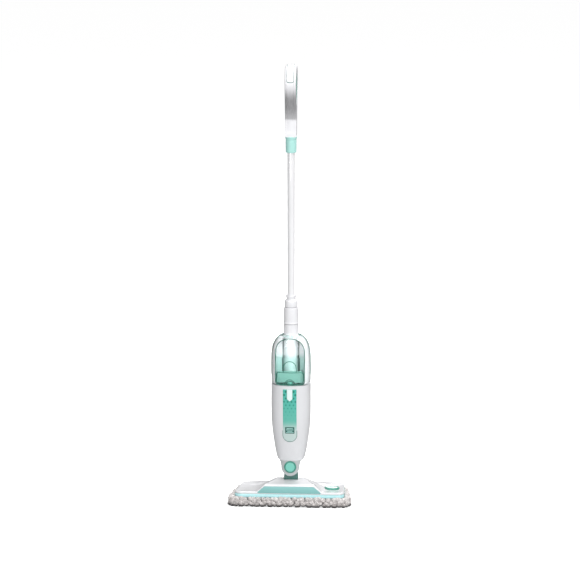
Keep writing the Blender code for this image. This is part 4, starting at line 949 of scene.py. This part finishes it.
def build_tank():
    outer = [TANK_BOTTOM, 0.3320, 0.3333, *spaced(0.3350, 0.4150, 14), *spaced(0.4200, 0.4640, 18), 0.4665,
             0.4685]
    shell = tank_block("tank", "tank", 0.0, outer, 0.0092, 0.0216)
    lens = loft("lens", [tank_ring(z, 0.0, 0.0092, 0.0009) for z in [*spaced(0.3330, 0.4150, 12),
                                                                     *spaced(0.4200, 0.4640, 18)]], "tank")
    window = window_outline(0.0396, 0.3335)
    prism = plate("arch", resampled(window, 0.002), "XZ", -0.060, -0.0300, "tank", 0.0)
    carve(lens, prism, operation="INTERSECT")
    carve(shell, lens, operation="UNION")
    inner = [0.3328, 0.3350, *spaced(0.3380, 0.4150, 14), *spaced(0.4200, 0.4600, 14), 0.4640]
    carve(shell, tank_block("cavity", "tank", 0.0014, inner, 0.0078, 0.0230))
    carve(shell, rod("mouth", 0.0086, 0.320, 0.350, "tank", centre=(0, CAP_Y, 0), segments=64))
    piece(shell, "water_tank", "tank_clear", "tank_shell")

    cheeks = tank_block("tank_frame", "white", 0.0026, inner[:-2], 0.0066, 0.0236)
    opening = plate("opening", resampled(window_outline(0.0392, 0.3300), 0.002), "XZ", -0.080, -0.0060,
                    "white", 0.0)
    carve(cheeks, opening)
    piece(cheeks, "water_tank", "tank_clear")

    low = [0.3330, 0.3352, *spaced(0.3380, 0.4085, 14), 0.4088]
    water = tank_block("water", "water", 0.00135, low, 0.0070, 0.02295)
    between = [(-0.0391, 0.320), (0.0391, 0.320), (0.0391, 0.420), (-0.0391, 0.420)]
    sides = plate("sides", between, "XZ", -0.080, -0.0061, "water", 0.0)
    carve(water, sides, operation="INTERSECT")
    carve(water, rod("stopper", 0.0088, 0.320, 0.3404, "water", centre=(0, CAP_Y, 0), segments=64))
    piece(water, "water_tank", "tank_clear")

    # Painted shade: the window edge and the moulded lines of the clear tank are drawn as dark beads.
    edge = resampled(window, 0.0015)
    bead = sweep("window_bead", on_tank(edge, -0.0010), 0.0012, "bead", closed=True)
    piece(bead, "water_tank", "tank_clear")
    arch = [(0.0177 * math.cos(a), 0.3790 + 0.0195 * math.sin(a)) for a in spaced(0, math.pi, 40)]
    arch = [(0.0177, 0.3672)] + arch + [(-0.0177, 0.3672)]
    beads = [sweep("arch_line", on_tank(arch, 0.0022), 0.0010, "bead")]
    box = rounded([(-0.0362, 0.3360), (0.0362, 0.3360), (0.0362, 0.3675), (-0.0362, 0.3675)], 0.0070)
    beads.append(sweep("box_line", on_tank(resampled(box, 0.002), 0.0022), 0.0010, "bead", closed=True))
    for radius in (0.0138, 0.0102):
        turns = spaced(0.08, math.pi - 0.08, 30)
        latch = [(radius * math.cos(a), 0.3345 + radius * math.sin(a)) for a in turns]
        beads.append(sweep("latch_line", on_tank(latch, -0.0006), 0.0010, "bead"))
    piece(merge("tank_lines", *beads), "water_tank", "tank_clear")
    pocket = rounded([(-0.0360, 0.3362), (0.0360, 0.3362), (0.0360, 0.3673), (-0.0360, 0.3673)], 0.0068)
    piece(plate("tank_pocket", pocket, "XZ", -0.0262, -0.0248, "milky", 0.0004), "water_tank", "tank_clear")
    # Painted shade: a dark bead down each flank of the clear tank, for its dark edge.
    for side in (-1, 1):
        rib = [Vector((side * (interpolate(TANK_STATIONS, z)[0] - 0.0004), -0.0040, z))
               for z in [*spaced(0.3560, 0.4290, 14), *spaced(0.4330, 0.4680, 16)]]
        piece(sweep("tank_flank_shade_line", rib, 0.0012, "bead"), "water_tank", "tank_clear")


build_front()
build_rear()
build_inlay()
build_tank()


# ---------------------------------------------------------------- head
def trapezoid(grow=0.0, radius=0.019, front=0.1508, back=0.1400, depth=0.0723, steps=14):
    corners = [(-front, -depth), (front, -depth), (back, depth), (-back, depth)]
    return offset(rounded(corners, radius, steps), grow)


def wing_height(x, y):
    rim = max(abs(abs(x) - 0.116) / 0.026, abs(y) / 0.058)
    front = min(max((-0.056 - y) / 0.010, 0), 1)
    outer = min(max((abs(x) - 0.090) / 0.055, 0), 1) * min(max((y + 0.050) / 0.060, 0), 1)
    return 0.0385 - 0.0028 * max(0.0, 1 - rim**3) + 0.0012 * front - 0.0030 * outer * (1 if x < 0 else 0.4)


def cover_height(x, y):
    back = min(max((y + 0.0723) / 0.0723, 0), 1)
    back = back * back * (3 - 2 * back)
    rear = min(max((y - 0.016) / 0.034, 0), 1)
    top, foot = 0.0665 - 0.029 * back, 0.0905 + 0.036 * rear * rear * (3 - 2 * rear)
    share = min(max((foot - abs(x)) / (foot - top), 0), 1)
    share += 0.35 * (share * share * (3 - 2 * share) - share)
    wing = wing_height(x, y)
    return wing + (interpolate(COVER_PROFILE, y)[0] - wing) * share


def cover_rings(grow, sink, base, soft):
    """Rings from the middle of a cover's surface out to its edge and down to its base."""
    outline = resampled(trapezoid(grow), 0.0022)
    rings = []
    for s in [0.004, 0.02, *spaced(0.05, 0.95, 46), *[1 - 0.045 * (1 - k / 9) ** 2 for k in range(1, 9)]]:
        ring = []
        for x, y in outline:
            away = (1 - s) * math.hypot(x, y)
            drop = soft - math.sqrt(max(soft**2 - (soft - away) ** 2, 0)) if away < soft else 0.0
            ring.append(Vector((x * s, y * s, cover_height(x * s, y * s) - sink - drop)))
        rings.append(ring)
    edge = [cover_height(x, y) - sink - soft for x, y in outline]
    rings.append([Vector((x, y, z)) for (x, y), z in zip(outline, edge)])
    rings.append([Vector((x, y, base)) for x, y in outline])
    return rings


def pedal_outline(radius):
    return [(PEDAL_X + radius * 1.12 * math.cos(a), radius * math.sin(a)) for a in round_steps(72)]


def build_head():
    outer = cover_rings(-0.0004, 0.0, 0.0338, 0.0018)
    inner = cover_rings(-0.0026, 0.0024, 0.0338, 0.0008)
    cover = loft("head_cover_shell", outer + inner[::-1], "white", 40)
    slot = rounded([(-0.0212, -0.0195), (0.0212, -0.0195), (0.0212, 0.030), (-0.0212, 0.030)], 0.004)
    yoke_hole = plate("slot", slot, "XY", 0.030, 0.080, "white", 0.0)
    trough = rounded([(-0.040, 0.019), (0.040, 0.019), (0.040, 0.090), (-0.040, 0.090)], 0.004)
    channel = plate("channel", trough, "XY", 0.030, 0.080, "white", 0.0)
    pocket = plate("pocket", panel_outline(0.0004), "XZ", -0.080, -0.0706, "white", 0.0)
    tab_hole = plate("tab_hole", pedal_outline(0.0186), "XY", 0.030, 0.050, "white", 0.0)
    carve(cover, yoke_hole, channel, pocket, tab_hole, angle=40)
    piece(cover, "mop_head", "white_plastic", "head_cover")
    panel = plate("front_plate", panel_outline(0.0), "XZ", -0.0722, -0.0707, "panel", 0.0005)
    piece(panel, "mop_head", "teal_plastic", "front_panel")
    channel_lining()
    build_strip_ring()
    build_pedal()


def channel_lining():
    """Walls and floor of the channel that the neck folds back into."""
    ys = spaced(0.0190, 0.0716, 24)
    pieces = []
    for side in (-1, 1):
        rings = []
        for y in ys:
            top = cover_height(0.0405, y) - 0.0010
            ring = [(0.0401, 0.0268), (0.0412, 0.0268), (0.0412, top), (0.0401, top)]
            rings.append([Vector((side * x, y, z)) for x, z in ring])
        pieces.append(loft("lining", rings, "white"))
        top = cover_height(0.0300, 0.0185) - 0.0012
        outline = [(0.0216, 0.0268), (0.0408, 0.0268), (0.0408, top - 0.002), (0.0216, top)]
        outline = [(side * x, z) for x, z in outline]
        pieces.append(plate("lining", outline[::side], "XZ", 0.0178, 0.0189, "white", 0.0))
    floor = rounded([(-0.0402, 0.0192), (0.0402, 0.0192), (0.0402, 0.0700), (-0.0402, 0.0700)], 0.0020)
    pieces.append(plate("lining", floor, "XY", 0.0266, 0.0276, "white", 0.0002))
    piece(merge("channel_lining", *pieces), "mop_head", "white_plastic")


def panel_outline(grow):
    corners = [(-0.0905, 0.0358), (0.0905, 0.0358), (0.0668, 0.0550), (-0.0668, 0.0550)]
    return offset(rounded(corners, 0.0022, 5), grow)


def build_strip_ring():
    section = [(-0.0030, 0.0243), (-0.0008, 0.0243), (-0.0002, 0.0246), (0.0, 0.0252), (0.0001, 0.0290),
               (0.0, 0.0322), (-0.0003, 0.0330), (-0.0010, 0.0335), (-0.0030, 0.0335)]
    rings = [[Vector((x, y, z)) for x, y in trapezoid(out)] for out, z in section]
    piece(loft("bumper", rings, "strip", closed=True), "mop_head", "aqua_strip", "bumper_strip")
    line = [[Vector((x, y, z)) for x, y in trapezoid(out)] for out, z in
            ((-0.0022, 0.0334), (-0.0002, 0.0334), (0.0000, 0.0337), (-0.0002, 0.0340), (-0.0022, 0.0340))]
    piece(loft("bumper_line", line, "teal_dark", closed=True), "mop_head", "aqua_strip")


def build_pedal():
    levels = [(0.0205, 0.0322), (0.0205, 0.0335), (0.0202, 0.0337), (0.0181, 0.0337), (0.0181, 0.0385),
              (0.0178, 0.0396), (0.0170, 0.0404), (0.0158, 0.0408), (0.0146, 0.0406), (0.0134, 0.0399),
              (0.0110, 0.0394), (0.0060, 0.0391), (0.0010, 0.0390)]
    rings = [[Vector((x, y, z)) for x, y in pedal_outline(radius)] for radius, z in levels]
    piece(loft("foot_tab", rings, "teal_dark"), "pedal", "teal_plastic", "pad_pedal")
    # Painted highlight: a near-white inset in the middle of the teal tab, for the reflection in its glossy
    # dish.
    levels = [(0.0134, 0.0385), (0.0134, 0.0402), (0.0128, 0.0406), (0.0090, 0.0407), (0.0040, 0.0407)]
    inset = [[Vector((x, y, z)) for x, y in pedal_outline(radius)] for radius, z in levels]
    piece(loft("foot_tab_painted_highlight", inset, "lens"), "pedal", "teal_plastic")


def build_yoke():
    barrel = [(0.0051, -0.0205), (0.0118, -0.0205), (0.0125, -0.0198), (0.0125, 0.0198), (0.0118, 0.0205),
              (0.0051, 0.0205)]
    yoke = turned("yoke", barrel, "yoke", "X", (0, 0, PITCH_Z), 64)
    drum = [(0, -0.0185), (0.0150, -0.0185), (0.0158, -0.0177), (0.0158, 0.0177), (0.0150, 0.0185),
            (0, 0.0185)]
    hub = turned("hub", drum, "yoke", "Y", (0, 0, SWIVEL_Z), 64)
    rings = []
    table = [(PITCH_Z, 0.0190, 0.0100), (0.062, 0.0190, 0.0150), (0.074, 0.0185, 0.0165),
             (SWIVEL_Z, 0.0150, 0.0165)]
    for z in spaced(PITCH_Z, SWIVEL_Z, 20):
        hx, hy = interpolate(table, z)
        section = rounded([(-hx, -hy), (hx, -hy), (hx, hy), (-hx, hy)], 0.0045)
        rings.append([Vector((x, y, z)) for x, y in section])
    neck = loft("neck", rings, "yoke")
    carve(yoke, neck, hub, operation="UNION")
    bores = [rod("bore", 0.00506, -0.06, 0.06, "yoke", "X", (0, 0, PITCH_Z)),
             rod("bore", 0.00606, -0.06, 0.06, "yoke", "Y", (0, 0, SWIVEL_Z))]
    carve(yoke, *bores)
    piece(yoke, "neck", "teal_plastic", "neck_yoke")


# ---------------------------------------------------------------- cleaning pad
def unit_sphere(detail):
    bm = bmesh.new()
    bmesh.ops.create_icosphere(bm, subdivisions=detail, radius=1.0)
    found = [v.co.normalized() for v in bm.verts], [[v.index for v in f.verts] for f in bm.faces]
    bm.free()
    return found


def tuft(sphere, centre, outward, size, seed):
    """Points of one chenille tuft: a lumpy ellipsoid with strands, cut off at the floor."""
    turn = Vector((1, 0, 0)).rotation_difference(outward).to_matrix()
    shift = Vector((seed * 0.37, seed * 0.71, seed * 0.13))
    points = []
    for p in sphere[0]:
        swell = 1 + 0.20 * noise.noise(p * 2.0 + shift) + 0.24 * noise.noise(p * 5.5 + shift)
        swell += 0.20 * noise.noise(p * 12.0 - shift)
        q = centre + turn @ Vector((p.x * size[0], p.y * size[1], p.z * size[2])) * swell
        q.z = max(q.z, 0.0003)
        points.append(q)
    return points


def build_pad():
    """Chenille pad: a flat core under rows of edge tufts and a grid of short tufts below."""
    outline = trapezoid(-0.0150, 0.022, 0.1722, 0.1490, 0.088)
    outline = resampled(outline, 0.004)
    hollow = resampled(trapezoid(0.0012), 0.004)
    bm = bmesh.new()
    rings = [[Vector((x * s, y * s, 0.0030)) for x, y in outline] for s in (0.01, 0.5, 0.97)]
    rings.append([Vector((x, y, 0.0050)) for x, y in outline])
    rings.append([Vector((x, y, 0.0180)) for x, y in outline])
    level = len(outline)
    verts = [bm.verts.new(p) for ring in rings for p in ring]
    for k in range(len(rings) - 1):
        for i in range(level):
            j = (i + 1) % level
            bm.faces.new([verts[k * level + i], verts[k * level + j], verts[(k + 1) * level + j],
                          verts[(k + 1) * level + i]])
    bm.faces.new(verts[:level])
    bm.faces.new(verts[-level:])
    core = bpy.data.meshes.new("core")
    bmesh.ops.recalc_face_normals(bm, faces=bm.faces)
    bm.to_mesh(core)
    bm.free()
    pad = bpy.data.objects.new("chenille_pad", core)
    bpy.context.scene.collection.objects.link(pad)
    recess = plate("recess", hollow, "XY", 0.0120, 0.060, "fabric", 0.0)
    carve(pad, recess)

    verts = [v.co.copy() for v in pad.data.vertices]
    faces = [tuple(f.vertices) for f in pad.data.polygons]

    def add(sphere, *spec):
        start = len(verts)
        verts.extend(tuft(sphere, *spec))
        faces.extend(tuple(start + i for i in face) for face in sphere[1])

    fine, coarse = unit_sphere(4), unit_sphere(3)
    edge = [Vector(p) for p in resampled(trapezoid(0, 0.030, 0.1722, 0.1490, 0.088), 0.002)]
    walk = [0.0]
    for here, after in zip(edge, edge[1:] + edge[:1]):
        walk.append(walk[-1] + (after - here).length)
    rows = (
        (0.0208, 0.0120, 0.0092, (0.0084, 0.0074, 0.0058)),
        (0.0138, 0.0130, 0.0078, (0.0080, 0.0080, 0.0060)),
        (0.0066, 0.0150, 0.0078, (0.0080, 0.0082, 0.0066)),
    )
    for row, (z, gap, inset, size) in enumerate(rows):
        count = round(walk[-1] / gap)
        for k in range(count):
            wild = [noise.noise(Vector((k * 1.71 + n * 31.3, row * 9.13, 3.3))) for n in range(3)]
            target = walk[-1] * ((k + 0.5 * row + 0.5 * wild[0]) / count % 1)
            index = min(sum(1 for w in walk if w <= target) - 1, len(edge) - 1)
            here = edge[index]
            along = (edge[(index + 1) % len(edge)] - here).normalized()
            out = Vector((along.y, -along.x))
            inward = inset + 0.0016 * wild[1]
            centre = Vector((here.x - out.x * inward, here.y - out.y * inward, z + 0.0026 * wild[2]))
            lean = Vector((out.x, out.y, -0.15 + 0.5 * wild[2])).normalized()
            add(fine, centre, lean, [v * (1 + 0.38 * wild[1]) for v in size], k * 3.7 + row * 50)
    step = 0.0200
    for i in range(-8, 9):
        for j in range(-4, 5):
            x, y = (i + 0.5 * (j % 2)) * step, j * 0.0178
            limit = 0.1722 - 0.0232 * (y + 0.088) / 0.176 - 0.022
            if abs(x) <= limit and abs(y) <= 0.067:
                seed = i * 5.1 + j * 7.7
                add(coarse, Vector((x, y, 0.0052)), Vector((0, 0, -1)), (0.0062, 0.0118, 0.0105), seed)
    made = bpy.data.meshes.new("chenille_pad")
    made.from_pydata(verts, [], faces)
    pad.data = made
    made.shade_smooth()
    made.materials.append(FINISHES["fabric"].material)
    piece(pad, "mop_head", "pad_microfibre", "cleaning_pad")


# ---------------------------------------------------------------- back fittings
def hook(name, base_y, z, up, body, node):
    base = rod(name, 0.0085, base_y, base_y + 0.0032, "white", "Y", (0, 0, z), 56, 0.0006)
    arm = [(0.001, -0.0040), (0.0255, -0.0040), (0.0275, 0.0240), (0.0235, 0.0240), (0.0215, 0.0025),
           (0.001, 0.0025)]
    outline = [(base_y + y, z + up * rise) for y, rise in arm][::up]
    curved = fillet(outline, 0.0016, 5)
    blade = plate("arm", curved, "YZ", -0.0060, 0.0060, "white", 0.0009)
    carve(base, blade, operation="UNION")
    piece(base, body, "white_plastic", node)


def build_fittings():
    hook("turning_hook", 0.0158, HOOK_Z, 1, "cord_hook", "upper_cord_hook")
    hook("fixed_hook", 0.0435, LOWER_HOOK_Z, -1, "main_body", "lower_cord_hook")
    profile = [(0.0030, 0.0220), (0.0056, 0.0220), (0.0056, 0.0377), (0.0084, 0.0377), (0.0084, 0.0392),
               (0.0074, 0.0394), (0.0074, 0.0404), (0.0080, 0.0406), (0.0079, 0.0416), (0.0069, 0.0418),
               (0.0068, 0.0426), (0.0074, 0.0428), (0.0072, 0.0438), (0.0060, 0.0440), (0.0030, 0.0440)]
    gland = turned("inlet_gland", profile, "rubber", "Y", (0, 0, GLAND_Z), 56, 0.0003)
    piece(gland, "main_body", "black_rubber", "cord_gland")


def dress_cad():
    """CAD pieces that stay as they are get the same finishes."""
    looks = {"white_plastic": "white", "teal_plastic": "teal", "inlay_teal": "inlay", "aqua_strip": "strip",
             "tank_clear": "tank", "lens_milky": "lens", "pad_microfibre": "fabric", "pole_enamel": "pole",
             "steel": "steel", "brass": "brass", "boiler_alloy": "alloy", "black_rubber": "rubber",
             "hose_silicone": "hose", "inner_grey": "grey", "board_green": "board"}
    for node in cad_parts.values():
        for spot in node.material_slots:
            name = spot.material.name.split(".")[0] if spot.material else "inner_grey"
            spot.material = FINISHES[looks.get(name, "grey")].material


build_head()
build_yoke()
build_pad()
build_fittings()
dress_cad()


# ---------------------------------------------------------------- studio
CAMERA_DISTANCE = 30
VIEW_WIDTH = 1.578


def area_light(name, place, target, size, energy):
    lamp = bpy.data.lights.new(name, "AREA")
    lamp.shape = "RECTANGLE"
    lamp.size, lamp.size_y = size
    lamp.energy = energy
    holder = bpy.data.objects.new(name, lamp)
    holder.location = place
    holder.rotation_euler = (Vector(target) - Vector(place)).to_track_quat("-Z", "Y").to_euler()
    bpy.context.scene.collection.objects.link(holder)


def floor_finish():
    """White floor: bright to the camera, darker to every other ray."""
    ground = bpy.data.materials.new("studio_floor")
    ground.use_nodes = True
    nodes, links = ground.node_tree.nodes, ground.node_tree.links
    seen = nodes["Principled BSDF"]
    seen.inputs["Base Color"].default_value = (0.90, 0.90, 0.90, 1)
    seen.inputs["Roughness"].default_value = 0.9
    seen.inputs["Specular IOR Level"].default_value = 0.0
    seen.inputs["Emission Color"].default_value = (1, 1, 1, 1)
    seen.inputs["Emission Strength"].default_value = 0.48
    mirrored = nodes.new("ShaderNodeBsdfDiffuse")
    mirrored.inputs["Color"].default_value = (0.30, 0.30, 0.30, 1)
    path, blend = nodes.new("ShaderNodeLightPath"), nodes.new("ShaderNodeMixShader")
    links.new(path.outputs["Is Camera Ray"], blend.inputs[0])
    links.new(mirrored.outputs[0], blend.inputs[1])
    links.new(seen.outputs[0], blend.inputs[2])
    links.new(blend.outputs[0], nodes["Material Output"].inputs["Surface"])
    return ground


def build_world():
    """Soft surroundings, brightest above and on the right; plain white to the camera."""
    world = bpy.data.worlds.new("studio")
    bpy.context.scene.world = world
    world.use_nodes = True
    nodes, links = world.node_tree.nodes, world.node_tree.links
    split = nodes.new("ShaderNodeSeparateXYZ")
    links.new(nodes.new("ShaderNodeTexCoord").outputs["Generated"], split.inputs[0])

    def scaled(value, factor, added):
        node = nodes.new("ShaderNodeMath")
        node.operation = "MULTIPLY_ADD"
        links.new(value, node.inputs[0])
        node.inputs[1].default_value = factor
        if isinstance(added, float):
            node.inputs[2].default_value = added
        else:
            links.new(added, node.inputs[2])
        return node.outputs[0]

    level = scaled(split.outputs["X"], 0.12, 0.46)
    level = scaled(split.outputs["Z"], 0.12, level)
    level = scaled(split.outputs["Y"], -0.06, level)
    path, choose = nodes.new("ShaderNodeLightPath"), nodes.new("ShaderNodeMix")
    links.new(path.outputs["Is Camera Ray"], choose.inputs["Factor"])
    links.new(level, choose.inputs[2])
    choose.inputs[3].default_value = 1.1
    links.new(choose.outputs[0], nodes["Background"].inputs["Strength"])
    nodes["Background"].inputs["Color"].default_value = (1, 1, 1, 1)


def build_studio():
    mesh = bpy.data.meshes.new("studio_floor")
    mesh.from_pydata([(-60, -60, 0), (60, -60, 0), (60, 60, 0), (-60, 60, 0)], [], [(0, 1, 2, 3)])
    mesh.materials.append(floor_finish())
    floor = bpy.data.objects.new("studio_floor", mesh)
    bpy.context.scene.collection.objects.link(floor)
    build_world()
    bpy.context.scene.view_settings.view_transform = "Standard"
    area_light("key", (2.2, -3.4, 2.0), (0, 0, 0.6), (1.4, 2.4), 82)
    area_light("front", (-1.1, -4.4, 1.4), (0, 0, 0.6), (1.4, 2.0), 60)
    area_light("top", (0.6, 0.1, 3.6), (0, 0, 0.3), (2.6, 2.2), 58)
    area_light("rear", (0.8, 3.6, 3.2), (0, 0, 0.6), (1.6, 1.6), 90)

    lens = bpy.data.cameras.new("camera")
    lens.sensor_width = 36
    lens.lens = lens.sensor_width * CAMERA_DISTANCE / VIEW_WIDTH
    lens.clip_end = 200
    camera = bpy.data.objects.new("camera", lens)
    target = Vector((-0.003, 0, 0.5873))
    around, above = math.radians(4.5), math.radians(11.5)
    flat = math.cos(above)
    aim = Vector((math.sin(around) * flat, -math.cos(around) * flat, math.sin(above)))
    camera.location = target + CAMERA_DISTANCE * aim
    camera.rotation_euler = (target - camera.location).to_track_quat("-Z", "Y").to_euler()
    bpy.context.scene.collection.objects.link(camera)
    bpy.context.scene.camera = camera


build_studio()
